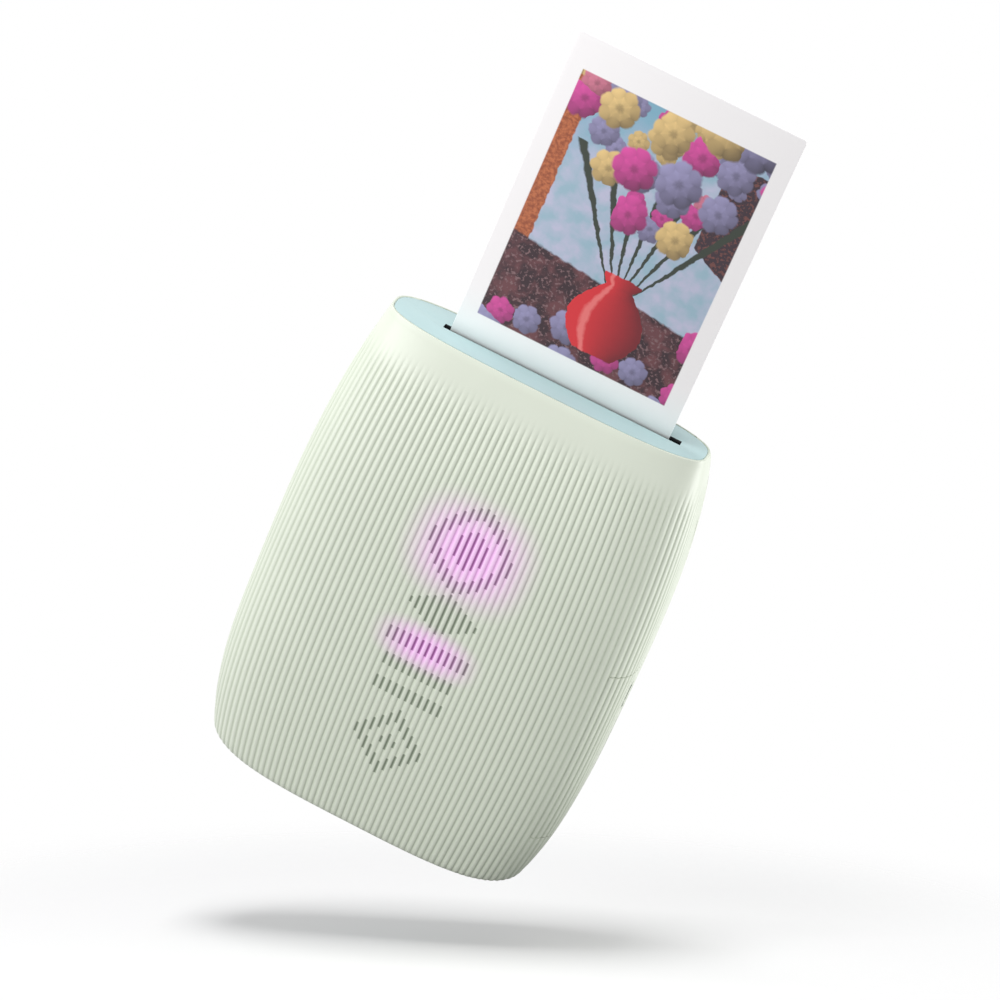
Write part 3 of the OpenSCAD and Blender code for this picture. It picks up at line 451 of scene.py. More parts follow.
def coated(mesh, material):
    """The last two nodes of a tree: plain meshes of its instances, in one material."""
    plain = out(mesh.tree, "GeometryNodeRealizeInstances", mesh)
    return out(mesh.tree, "GeometryNodeSetMaterial", plain, None, material)


# The flutes: each point of the outer face sinks along its normal by how far it is from its ridge.
flutes, given, flutes_out = new_tree("flutes", depth=float, sharpness=float, run_out_start=float,
                                     run_out_end=float, foot=float, plastic=bpy.types.Material)
from_ridge = abs(named(flutes, "flute", "FLOAT").calc("FRACT")*2.0 - 1.0)
height = split(out(flutes, "GeometryNodeInputPosition"))[2]
below_band = ramp(height, given["run_out_start"], given["run_out_end"], 1.0, 0.0, kind="SMOOTHSTEP")
above_foot = ramp(height, 0.0, given["foot"], kind="SMOOTHSTEP")
fade = below_band*above_foot*(1.0 - named(flutes, "inner", "FLOAT"))
sink = from_ridge**given["sharpness"]*fade*(given["depth"]*-1.0)
fluted = out(flutes, "GeometryNodeSetPosition", given["Mesh"],
             keyed={"Offset": vector_math("SCALE", named(flutes, "out", "FLOAT_VECTOR"), Scale=sink)})
fill(flutes_out, coated(fluted, given["plastic"]))


def prism(outline, axis, start, end, frame_of=None):
    """Closed mesh: an outline in mm, swept along an axis. X takes (y, z), Y takes (x, z), Z takes (x, y)."""
    place = {"X": lambda u, v, w: (w, u, v), "Y": lambda u, v, w: (u, w, v), "Z": lambda u, v, w: (u, v, w)}
    count = len(outline)
    form = bmesh.new()
    ends = [[form.verts.new(Vector(place[axis](u, v, w))/1000) for u, v in outline] for w in (start, end)]
    form.faces.new(ends[0][::-1])
    form.faces.new(ends[1])
    for k in range(count):
        form.faces.new((ends[0][k], ends[0][(k + 1) % count], ends[1][(k + 1) % count], ends[1][k]))
    bmesh.ops.recalc_face_normals(form, faces=form.faces)
    if frame_of is not None:
        bmesh.ops.transform(form, matrix=frame_of, verts=form.verts)
    return made_from(form, "prism")


def arc(middle, radius, start, end, count):
    """Points along an arc, with its start and end given in degrees."""
    return [(middle[0] + radius*math.cos(math.radians(a)), middle[1] + radius*math.sin(math.radians(a)))
            for a in np.linspace(start, end, count)]


def circle(middle, radius, count=32):
    return arc(middle, radius, 0, 360, count + 1)[:-1]


def stadium(middle, length, width, count=14):
    """Upright stadium: a slot with round ends."""
    rise_by = (length - width)/2
    return (arc((middle[0], middle[1] + rise_by), width/2, 0, 180, count)
            + arc((middle[0], middle[1] - rise_by), width/2, 180, 360, count))


def box_outline(u0, u1, v0, v1):
    return [(u0, v0), (u1, v0), (u1, v1), (u0, v1)]


def joined(*meshes):
    """One mesh of several."""
    form = bmesh.new()
    for mesh in meshes:
        form.from_mesh(mesh)
    return made_from(form, "joined")


def carve(piece, operation, *cutters):
    """Cuts the piece by closed meshes, or keeps what they hold of it."""
    tool = new_piece("cutter", joined(*cutters))
    cut = piece.modifiers.new("cut", "BOOLEAN")
    cut.operation = operation
    cut.solver = "MANIFOLD"
    cut.object = tool
    baked(piece)
    bpy.data.objects.remove(tool)
    return piece


def crisp(piece, degrees=50):
    """Smooth shading, broken where two faces meet at more than this angle."""
    for face in piece.data.polygons:
        face.use_smooth = True
    piece.data.set_sharp_from_angle(angle=math.radians(degrees))
    return piece


def casing_shell(name, side, plastic):
    """Front or back half of the casing with its wall, its exit and base rims and its flutes."""
    shell = new_piece(name, barrel_half(side))
    spots = points_mm(shell)
    normals = outward(spots)
    normals[spots[:, 2] < 0.01] = 0
    shell.data.attributes.new("out", "FLOAT_VECTOR", "POINT").data.foreach_set("vector", normals.ravel())
    full, inner = (shell.vertex_groups.new(name=name) for name in ("wall", "inner"))
    thin = np.flatnonzero(spots[:, 2] > casing_h_mm - plate_mm - 0.01).tolist()
    full.add(list(range(len(spots))), 1.0, "REPLACE")
    full.add(thin, exit_rim_mm/wall_mm, "REPLACE")
    wall = shell.modifiers.new("wall", "SOLIDIFY")
    wall.thickness = wall_mm/1000
    wall.offset = -1
    wall.vertex_group = full.name
    wall.shell_vertex_group = inner.name
    baked(shell)
    grown(shell, flutes, depth=flute_depth_mm/1000, sharpness=flute_sharpness, plastic=plastic,
          run_out_start=flute_fade_mm[0]/1000, run_out_end=flute_fade_mm[1]/1000, foot=flutes_start_mm/1000)
    spots = points_mm(shell)
    lip = shell.vertex_groups.new(name="lip")
    outer_edge = (spots[:, 2] > casing_h_mm - 0.01) & (casing_form(spots) > 0.99)
    lip.add(np.flatnonzero(outer_edge).tolist(), 1.0, "REPLACE")
    rounded = shell.modifiers.new("lip", "BEVEL")
    rounded.limit_method = "VGROUP"
    rounded.vertex_group = lip.name
    rounded.width = lip_round_mm/1000
    rounded.segments = 3
    return baked(shell)


# The plastic: fine grain and faint clouding, used by every moulded piece with its own colours.
def finish_group(name, *inputs):
    """Shader group that gives a colour, a roughness and a grain: the group, what comes in, its outputs."""
    group = bpy.data.node_groups.new(name, "ShaderNodeTree")
    for socket, kind, start in inputs:
        made = group.interface.new_socket(socket, in_out="INPUT", socket_type="NodeSocket" + kind)
        made.default_value = start
    for socket, kind in (("Colour", "Color"), ("Roughness", "Float"), ("Grain", "Float")):
        group.interface.new_socket(socket, in_out="OUTPUT", socket_type="NodeSocket" + kind)
    given = [Value(socket) for socket in group.nodes.new("NodeGroupInput").outputs]
    return group, given, group.nodes.new("NodeGroupOutput").inputs


def noise(place, scale, detail, output=0):
    return out(place.tree, "ShaderNodeTexNoise", place, None, scale, detail, output=output)


moulded, given, finish = finish_group("moulded_finish", ("Colour", "Color", (0.8, 0.8, 0.8, 1)),
                                      ("Clouding", "Float", 0.02), ("Gloss roughness", "Float", 0.4))
tint, clouding, roughness = given[:3]
cloud_scale, grain_scale = 90.0, 4200.0      # to the metre
cloud = noise(object_place(moulded), cloud_scale, 3.0)
fine = noise(object_place(moulded), grain_scale, 2.0)
fill(finish[0], vector_math("SCALE", tint, Scale=ramp(cloud, 0.3, 0.7, 1.0 - clouding, clouding + 1.0)))
fill(finish[1], roughness + (fine - 0.5)*0.12)
fill(finish[2], fine)


def new_material(name):
    """An empty material: its node tree, and its Principled shader joined to its output."""
    made = bpy.data.materials.new(name)
    tree = empty_tree(made)
    shader = tree.nodes.new("ShaderNodeBsdfPrincipled")
    add(tree, "ShaderNodeOutputMaterial", shader.outputs[0])
    return made, tree, shader


def dress(shader, **values):
    """Fills a shader's inputs, with _ for the spaces in their names."""
    for name, value in values.items():
        fill(shader.inputs[name.replace("_", " ")], value)


def bumped(height, strength, distance_mm):
    """Normal from a height."""
    return out(height.tree, "ShaderNodeBump", strength, distance_mm/1000, keyed={"Height": height})


def finished(shader, group, inputs, depth, depth_mm=0.03, height=None):
    """Joins a finish group to a shader, bumped by the group's own grain or by another height."""
    finish = add(shader.id_data, "ShaderNodeGroup", *inputs, node_tree=group).outputs
    height = Value(finish["Grain"]) if height is None else height
    dress(shader, Base_Color=finish["Colour"], Roughness=finish["Roughness"],
          Normal=bumped(height, depth, depth_mm))


def colour(red, green, blue):
    """Linear colour of an sRGB one given from 0 to 255."""
    linear = [(c/255/12.92 if c <= 10 else ((c/255 + 0.055)/1.055)**2.4) for c in (red, green, blue)]
    return (*linear, 1)


def moulded_plastic(name, tint, clouding=0.02, roughness=0.42, grain=0.08):
    """Moulded plastic in one colour."""
    made, _, shader = new_material(name)
    finished(shader, moulded, (colour(*tint), clouding, roughness), grain)
    return made


def mixed(share, first, second):
    """Two colours mixed by a share."""
    tree = next(v.tree for v in (share, first, second) if isinstance(v, Value))
    return out(tree, "ShaderNodeMix", share, output=2, keyed={6: first, 7: second}, data_type="RGBA")


# Casing plastic: one colour, with painted shade making the grooves darker than the ridges, and on the
# front a column of plain shapes stands dark in the grooves, two of them in a painted glow of the lamps
# inside.
# The groove colour is painted shade; the grooves are the same plastic as the ridges.
ridge_tint, groove_shade_tint, tick_tint = colour(227, 234, 218), colour(209, 218, 199), colour(132, 144, 124)
# Lit copies of the ridge, groove and mark colours: a painted pink glow where the lamps inside would shine
# through.
lit_ridge, lit_groove, lit_tick = colour(244, 212, 243), colour(224, 176, 222), colour(156, 88, 154)
painted_lamp_glow = colour(212, 134, 210)
marks_x_mm = (1 - flute_phase)*flute_pitch_mm    # the column of shapes stands about one groove
# Height of each shape's middle, half its width and height, how square it is (1 is a diamond, 2 is
# round) and where its open middle ends.
mark_shapes = ((29.0, 9.4, 9.6, 1.0, 0.62), (29.0, 2.6, 2.4, 1.0, 0.0),       # diamond and its middle
               (43.0, 9.2, 1.7, 8.0, 0.0), (49.6, 9.2, 1.7, 8.0, 0.0),        # two bars
               (56.3, 10.4, 1.9, 8.0, 0.0), (66.4, 9.4, 5.6, 1.0, 0.0),       # lit bar and lozenge
               (84.0, 10.4, 11.5, 1.4, 0.72), (84.0, 4.8, 5.2, 1.4, 0.0))     # lit petals and their heart
# Middle, half width and half height of each patch of painted glow from the lamps behind.
painted_glow_patches = ((0.9, 83.3, 18.5, 16.5), (0.3, 56.1, 15.0, 7.4))
patch_power, patch_core = 2.6, 0.15
casing_plastic, casing_tree, casing_shader = new_material("casing_plastic")
count, mark_z, _ = split(out(casing_tree, "ShaderNodeUVMap", uv_map="flutes"))
nearest = count.calc("ROUND")
off_groove = abs(count - nearest)
mark_x = (nearest - flute_phase)*flute_pitch_mm
on_front = split(object_place(casing_tree))[1] < 0.0
fluted_here = ramp(mark_z, *flute_fade_mm, 1.0, 0.0, kind="SMOOTHSTEP")
# Share of painted groove shade, from each groove's bottom out towards the ridges.
groove_shade_share = fluted_here*ramp(off_groove, 0.08, 0.4, 1.0, 0.0, kind="SMOOTHSTEP")


def rounded_distance(x, z, middle, half_w, half_h, power):
    """1 on a rounded outline about a point on the front, less inside it and more outside."""
    across, upward = abs((x - middle[0])/half_w), abs((z - middle[1])/half_h)
    return (across**power + upward**power)**(1/power)


shape_share = None
for shape_z, half_w, half_h, power, open_to in mark_shapes:
    place = rounded_distance(mark_x, mark_z, (marks_x_mm, shape_z), half_w, half_h, power)
    shape = (place > open_to)*(place < 1.0)
    shape_share = shape if shape_share is None else shape_share | shape
ticks = shape_share*on_front*ramp(off_groove, 0.08, 0.28, 1.0, 0.0)
here_x = (count - flute_phase)*flute_pitch_mm
patches = [ramp(rounded_distance(here_x, mark_z, (x, z), half_w, half_h, patch_power),
                patch_core, 1.0, 1.0, 0.0, kind="SMOOTHSTEP") for x, z, half_w, half_h in painted_glow_patches]
painted_glow_share = on_front*(patches[0] | patches[1])
plain = mixed(ticks, mixed(groove_shade_share, ridge_tint, groove_shade_tint), tick_tint)
lit = mixed(ticks, mixed(groove_shade_share, lit_ridge, lit_groove), lit_tick)
finished(casing_shader, moulded, (mixed(painted_glow_share, plain, lit), 0.012, 0.36), 0.06)
# The lit patches also emit faintly: painted glow, since the casing is no lamp.
dress(casing_shader, Emission_Color=mixed(painted_glow_share*(1.0 - ticks*0.85), (0, 0, 0, 1), painted_lamp_glow),
      Emission_Strength=0.25)


# ---- Front cover and side panel: the front half of the barrel. The panel is a separate strip
# down the right edge, held behind the cover's edge, with the power button in it.
panel_mm = (20.0, 69.0)
panel_reach_mm = 4.3
button_mm = (-1.0, 60.5)         # depth and height of the button's middle
button_hole_mm = (8.0, 3.6)
inlet_mm = (-1.5, 28.0)
inlet_hole_mm = (9.54, 3.76)
panel_edge_mm = float(casing_section(panel_mm[1])[0]) - panel_reach_mm
top_x, _, top_along = half_outline(panel_mm[1], -1)
edge_along_mm = np.interp(panel_edge_mm, top_x[top_along > 0], top_along[top_along > 0])
panel_groove = round(flute_phase + edge_along_mm/front_pitch(panel_mm[1]))
past_mm = 60.0                   # cutters reach this far, past the casing's outside,
within_mm = 30.0                 # and those in the sides start this far from the middle


def groove_x(z, groove):
    """Place across the front of one groove at a height, in mm."""
    x, _, along = half_outline(z, -1)
    return float(np.interp(flute_places(z, -1, groove), along, x))


def panel_outline(gap):
    """The side panel's outline seen from the front, (x, z) in mm. Its long edge lies in a groove."""
    low, high = panel_mm[0] + gap, panel_mm[1] - gap
    edge = [(groove_x(z, panel_groove) + gap/5, float(z)) for z in np.linspace(low, high, 25)]
    return edge + [(past_mm, high), (past_mm, low)]


def node_mesh(node):
    """A merged copy of a construction node's mesh."""
    form = bmesh.new()
    form.from_mesh(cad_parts[node].data)
    bmesh.ops.remove_doubles(form, verts=form.verts, dist=1e-6)
    return made_from(form, node)


def end_outline(z, inset, count=192):
    """The whole outline of the casing at a height, drawn in by an inset, (x, y) in mm."""
    x, y = round_outline(z, 1, inset, np.linspace(0, 2*math.pi, count, endpoint=False))
    return list(zip(x.tolist(), y.tolist()))


boss_overlap_mm = 0.5            # how far the bosses' feet run into the wall
floor_mm = 3.2
room_inset_mm = wall_mm + 0.12


def room_mesh():
    """The room inside the casing's walls, as a closed form."""
    levels = np.linspace(floor_mm, casing_h_mm - plate_mm, 48)
    rings = [end_outline(z, room_inset_mm, 128) for z in levels]
    count = len(rings[0])
    points = [(x/1000, y/1000, z/1000) for ring, z in zip(rings, levels) for x, y in ring]
    faces = [list(range(count))[::-1], [(len(levels) - 1)*count + k for k in range(count)]]
    faces += [(r*count + k, r*count + (k + 1) % count, (r + 1)*count + (k + 1) % count, (r + 1)*count + k)
              for r in range(len(levels) - 1) for k in range(count)]
    mesh = bpy.data.meshes.new("room")
    mesh.from_pydata(points, [], faces)
    return mesh


def add_bosses(shell, node):
    """Adds the bosses and ears that a cover carries inside its wall, their feet sunk in the wall."""
    bosses = new_piece("bosses", node_mesh(node))
    carve(bosses, "INTERSECT", room_mesh())
    spots = points_mm(bosses)
    at_wall = casing_form(spots, room_inset_mm) > 0.985
    spots[at_wall] += outward(spots[at_wall])*boss_overlap_mm
    bosses.data.vertices.foreach_set("co", (spots/1000).ravel())
    carve(shell, "UNION", bosses.data)
    bpy.data.objects.remove(bosses)


def plain_inside(shell):
    """The inner faces and the cut edges are smooth plastic, with none of the outside's grooves and marks."""
    middles = np.array([f.center for f in shell.data.polygons])*1000
    inside = casing_form(middles, wall_mm*0.4) < 1
    flat_ends = (middles[:, 2] < foot_edge_mm*0.6) | (middles[:, 2] > casing_h_mm - 0.1)
    cut = np.array([f.material_index for f in shell.data.polygons]) > 0
    shell.data.materials.clear()
    for plastic in (casing_plastic, casing_inside):
        shell.data.materials.append(plastic)
    shell.data.polygons.foreach_set("material_index", (cut | inside & ~flat_ends).astype(np.int32))


def finish_shell(shell, body, node):
    """Shades a shell, gives it its plastics and hangs it on its body."""
    crisp(shell)
    plain_inside(shell)
    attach(shell, body)
    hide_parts(node)


casing_inside = moulded_plastic("casing_inside", (225, 232, 215), clouding=0.012)
front_cover = casing_shell("front_cover_shell", -1, casing_plastic)
side_panel = new_piece("side_panel_shell", front_cover.data.copy())
carve(front_cover, "DIFFERENCE", prism(panel_outline(0), "Y", -past_mm, split_mm + 1),
      prism(stadium(inlet_mm, *inlet_hole_mm), "X", -past_mm, -within_mm))
add_bosses(front_cover, "front_cover")
carve(side_panel, "INTERSECT", prism(panel_outline(seam_mm), "Y", -past_mm, split_mm - seam_mm))
carve(side_panel, "DIFFERENCE", prism(stadium(button_mm, *button_hole_mm), "X", within_mm, past_mm))
finish_shell(front_cover, "printer", "front_cover")
finish_shell(side_panel, "printer", "side_panel")


# ---- Rear cover: the back half of the barrel round the door's opening, with four sunk screw holes.
door_w_mm, door_top_mm = 71.0, 109.0
hinge_z_mm, hinge_sink_mm = 11.0, 2.4
hinge_y_mm = skin_y(0, hinge_z_mm, 1) - hinge_sink_mm
door_bevel_mm = 6.6              # the door's bottom bevel, outward plus upward from the hinge axis
knuckle_x_mm, knuckle_w_mm, knuckle_r_mm, knuckle_gap_mm = 16.0, 8.0, 2.2, 0.45
screw_low_mm, screw_high_mm = (38.3, 16.0), (39.4, 86.0)
boss_r_mm, screw_r_mm, head_r_mm = 2.6, 0.9, 1.7


def door_outline(gap):
    """The film door's outline seen from its side, (y, z) in mm."""
    start, high = split_mm + 4, door_top_mm - gap
    low = hinge_z_mm + door_bevel_mm - (start - hinge_y_mm) + gap*1.5
    return [(start, low), (past_mm, low - (past_mm - start)), (past_mm, high), (start, high)]


def door_block(gap):
    return prism(door_outline(gap), "X", -door_w_mm/2 + gap, door_w_mm/2 - gap)


def knuckle_room(side):
    half = knuckle_w_mm/2 + knuckle_gap_mm
    clear = knuckle_r_mm + knuckle_gap_mm
    room = box_outline(hinge_y_mm - clear, past_mm, hinge_z_mm - clear, hinge_z_mm + door_bevel_mm)
    return prism(room, "X", side*knuckle_x_mm - half, side*knuckle_x_mm + half)


screw_places = [(s*x, z) for s in (-1, 1) for x, z in (screw_low_mm, screw_high_mm)]


def screw_seat(place):
    """Depth at which a screw's head sits, in mm."""
    return min(skin_y(abs(place[0]) + boss_r_mm, place[1] + dz, 1) for dz in (-boss_r_mm, boss_r_mm)) - 0.5


rear_cover = casing_shell("rear_cover_shell", 1, casing_plastic)
film_door = new_piece("film_door_shell", rear_cover.data.copy())
carve(rear_cover, "DIFFERENCE", door_block(0), *[knuckle_room(s) for s in (-1, 1)])
carve(rear_cover, "DIFFERENCE",
      *[prism(circle(p, head_r_mm + 0.2), "Y", screw_seat(p), past_mm) for p in screw_places])
add_bosses(rear_cover, "rear_cover")
finish_shell(rear_cover, "printer", "rear_cover")


# ---- Film door: the middle of the back, beveled at its foot so that it swings clear, with a
# frame for the latch at its top and two knuckles round the hinge pins.
latch_drop_mm, latch_reach_mm = 7.5, 4
latch_z_mm = door_top_mm - latch_drop_mm
lean_in_mm = skin_y(0, latch_z_mm - latch_reach_mm, 1) - skin_y(0, latch_z_mm + latch_reach_mm, 1)
latch_lean = math.atan2(lean_in_mm, 2*latch_reach_mm)
latch_frame = (Matrix.Translation(Vector((0, skin_y(0, latch_z_mm, 1), latch_z_mm))/1000)
               @ Matrix.Rotation(latch_lean, 4, "X"))
latch_w_mm, latch_h_mm, latch_gap_mm, latch_travel_mm = 12.0, 6.0, 0.3, 3.0
latch_back_mm, latch_plate_mm, tongue_w_mm = -wall_mm - 0.7, 0.9, 6.0
tongue_top_mm = (door_top_mm - seam_mm - latch_z_mm)/math.cos(latch_lean) - 0.5
pin_r_mm, pin_gap_mm = 1.0, 0.05
carve(film_door, "INTERSECT", door_block(seam_mm))
carve(film_door, "DIFFERENCE", prism(
    box_outline(-latch_w_mm/2 - latch_gap_mm, latch_w_mm/2 + latch_gap_mm,
                -latch_h_mm/2 - latch_travel_mm - latch_gap_mm, latch_h_mm/2 + latch_gap_mm),
    "Y", -5, 5, latch_frame))
carve(film_door, "DIFFERENCE", prism(
    box_outline(-tongue_w_mm/2 - latch_gap_mm, tongue_w_mm/2 + latch_gap_mm, 0, tongue_top_mm + 1),
    "Y", latch_back_mm - latch_plate_mm - 1, latch_back_mm + latch_gap_mm, latch_frame))
arm_top_mm = door_bevel_mm + 1.9     # the knuckles' arms rise to here from the pins, inside the door
hinge_frame = Matrix.Translation(Vector((0, hinge_y_mm, hinge_z_mm))/1000)
for side in (-1, 1):
    ends = (side*knuckle_x_mm - knuckle_w_mm/2, side*knuckle_x_mm + knuckle_w_mm/2)
    knuckle = new_piece("knuckle", prism(circle((0, 0), knuckle_r_mm, 40), "X", *ends, hinge_frame))
    for arm in (box_outline(-1.2, 1.8, 0, arm_top_mm), box_outline(-1.2, 3, door_bevel_mm - 1.4, arm_top_mm)):
        carve(knuckle, "UNION", prism(arm, "X", *ends, hinge_frame))
    carve(film_door, "UNION", knuckle.data)
    bpy.data.objects.remove(knuckle)
carve(film_door, "DIFFERENCE", prism(circle((0, 0), pin_r_mm + pin_gap_mm), "X", -door_w_mm, door_w_mm,
                                     hinge_frame))
finish_shell(film_door, "film_door", "film_door")


# ---- Exit plate and base plate: flat inserts of pale aqua ABS, clipped flush into the two ends of
# the barrel. The exit plate has the slot that the film leaves by, which leans back with its path.
plate_gap_mm = 0.02
path_middle_mm = (2.9, -3.5, 125.0)
path_lean = math.radians(2.25)
slot_mm = (58.4, 2.0)
path_frame = Matrix.Translation(Vector(path_middle_mm)/1000) @ Matrix.Rotation(-path_lean, 4, "X")
aqua_plastic = moulded_plastic("aqua_plastic", (186, 213, 214), clouding=0.015, roughness=0.38)


def soften(piece, width_mm, segments=2, degrees=40):
    """Rounds the piece's edges that are sharper than this angle and shades it smooth."""
    bevel = piece.modifiers.new("soft_edges", "BEVEL")
    bevel.width = width_mm/1000
    bevel.segments = segments
    bevel.limit_method = "ANGLE"
    bevel.angle_limit = math.radians(degrees)
    baked(piece)
    return crisp(piece, 35)


def finish_piece(piece, material, body, slot, *nodes):
    """Gives a made piece its material and its body, and hides the nodes it stands for. Its slot is not used.
    """
    piece.data.materials.clear()
    piece.data.materials.append(material)
    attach(piece, body)
    if nodes:
        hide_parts(*nodes)
    return piece


def fixed_part(name, mesh, width_mm, material, slot, *nodes, cutter=None, segments=2):
    """A part that is fixed in the printer: a form, less a cutter, with its edges softened."""
    piece = new_piece(name, mesh)
    if cutter:
        carve(piece, "DIFFERENCE", cutter)
    soften(piece, width_mm, segments)
    return finish_piece(piece, material, "printer", slot, *nodes)


black_plastic = moulded_plastic("black_plastic", (34, 36, 38), clouding=0.05, roughness=0.5, grain=0.15)
half_slot_w, half_slot_d = slot_mm[0]/2, slot_mm[1]/2
slot_face_mm = 0.02              # a face this close to the slot is one of its walls
exit_plate = fixed_part(
    "exit_plate_insert", prism(end_outline(casing_h_mm, exit_rim_mm + plate_gap_mm), "Z",
                               casing_h_mm - plate_mm, casing_h_mm), 0.06, aqua_plastic, "aqua", "exit_plate",
    cutter=prism(box_outline(-half_slot_w, half_slot_w, -half_slot_d, half_slot_d), "Z", -9, 9, path_frame))
# The slot's walls take the black plastic: painted shade for the dark inside of the slot.
exit_plate.data.materials.append(black_plastic)
to_path = path_frame.inverted()
for face in exit_plate.data.polygons:
    across, deep, _ = (to_path @ face.center)*1000
    in_slot = abs(across) < half_slot_w + slot_face_mm and abs(deep) < half_slot_d + slot_face_mm
    face.material_index = int(abs(face.normal.z) < 0.5 and in_slot)
fixed_part("base_plate_insert", prism(end_outline(0, base_rim_mm + plate_gap_mm), "Z", 0, plate_mm), 0.1,
           aqua_plastic, "aqua", "base_plate")


# ---- Print: one sheet of mini instant film, a picture in a white border sealed to a charcoal back.
# The rollers hold its foot. The picture is a plain still life of flowers in a red vase.
film_mm = (54.0, 86.0, 0.45)
film_held_mm, film_play_mm = 10.0, -0.6
picture_x_mm, picture_z_mm = 23.0, (6.4, 68.4)
corner_mm = 0.9
half_film, film_top_mm = film_mm[0]/2, film_mm[1] - film_held_mm
corner_x, corner_high, corner_low = half_film - corner_mm, film_top_mm - corner_mm, corner_mm - film_held_mm
sheet_outline = [place for middle, start in (((corner_x, corner_high), 0), ((-corner_x, corner_high), 90),
                                             ((-corner_x, corner_low), 180), ((corner_x, corner_low), 270))
                 for place in arc(middle, corner_mm, start, start + 90, 6)]
sheet_frame = path_frame @ Matrix.Translation((film_play_mm/1000, 0, 0))


def film_sheet(frame_of):
    return prism(sheet_outline, "Y", -film_mm[2]/2, film_mm[2]/2, frame_of)


def lay_map(piece, name, frame_of):
    """UV map holding each point's place across and up in a frame of its own, in mm."""
    back = frame_of.inverted()
    flat = [value*1000 for corner in piece.data.loops
            for value in (back @ piece.data.vertices[corner.vertex_index].co).xz]
    piece.data.uv_layers.new(name=name).uv.foreach_set("vector", flat)


print_sheet = new_piece("instant_print", film_sheet(sheet_frame))
soften(print_sheet, 0.08)
lay_map(print_sheet, "sheet", sheet_frame)

print_front, front_tree, front_shader = new_material("print_front")
sheet_place = out(front_tree, "ShaderNodeUVMap", uv_map="sheet")
wobble = vector_math("SUBTRACT", noise(sheet_place, 0.5, 2.0, output=1), (0.5, 0.5, 0.5))
print_place = vector_math("ADD", sheet_place, vector_math("SCALE", wobble, Scale=1.1))
print_x, print_z, _ = split(print_place)
sheet_x, sheet_z, _ = split(sheet_place)
ripple, speckle = noise(print_place, 0.22, 3.0), noise(print_place, 1.3, 2.0)


def past(value, at, width=0.25):
    """0 below a value and 1 above it, with an edge this wide."""
    return ramp(value, at - width/2, at + width/2)


def within(value, low, high, width=0.25):
    return past(value, low, width)*(1.0 - past(value, high, width))


def over_line(slope):
    """Height on the print above a line through its middle with this slope."""
    return print_z - print_x*slope


# The picture, from the back to the front: a wall, a curtain, a cupboard, a table's cloth and stems.
# Its places are in mm, across from the sheet's middle and up from the slot.
picture = mixed(ramp(ripple, 0.35, 0.65), colour(158, 190, 206), colour(196, 198, 222))
picture = mixed(past(over_line(0.25), 60, 16), picture, colour(128, 178, 200))
curtain_x, curtain_foot_z, cupboard_x, cupboard_top_z = -19.2, 27, 14.5, 64
curtain = mixed(ramp(speckle, 0.35, 0.65), colour(150, 74, 38), colour(196, 112, 66))
in_curtain = (1.0 - past(print_x, curtain_x))*past(print_z, curtain_foot_z)
picture = mixed(in_curtain, picture, curtain)
cupboard = mixed(past(speckle, 0.56, 0.1), colour(52, 34, 44), colour(112, 66, 60))
in_cupboard = past(print_x, cupboard_x)*(past(over_line(-0.5), 50)*(1.0 - past(print_z, cupboard_top_z)))
picture = mixed(in_cupboard, picture, cupboard)
cloth = mixed(past(ripple, 0.52, 0.16), colour(44, 20, 28), colour(104, 58, 62))
cloth = mixed(past(speckle, 0.6, 0.1), cloth, colour(128, 98, 100))
picture = mixed(1.0 - past(over_line(-0.12), 25.5, 0.5), picture, cloth)
vase_x, stems_meet_z, stem_count = 3.5, 21.0, 17.0
from_vase = print_x - vase_x
stem_turn = from_vase.calc("ARCTAN2", print_z - stems_meet_z)
stems = past(abs((stem_turn*stem_count).calc("COSINE")), 0.9, 0.08)
picture = mixed(stems*(within(print_z, 26, 54)*(1.0 - past(abs(stem_turn), 0.62, 0.05))), picture,
                colour(46, 58, 44))
# The vase: a round belly under a narrow neck, lit from its left.
vase_foot_z, vase_lip_z = 9.5, 29
belly = ((print_z - 8.0)*0.17).calc("SINE") | 0.0
vase_half = past(print_z, 27.4, 1.6)*1.3 + (belly*5.6 + 3.2)
in_vase = (abs(from_vase) < vase_half)*within(print_z, vase_foot_z, vase_lip_z)
vase_turn = from_vase/vase_half
vase = mixed(past(vase_turn, 0.15, 1.5), colour(222, 42, 50), colour(120, 12, 24))
vase = mixed(within(vase_turn, -0.62, -0.42, 0.1), vase, colour(240, 120, 118))


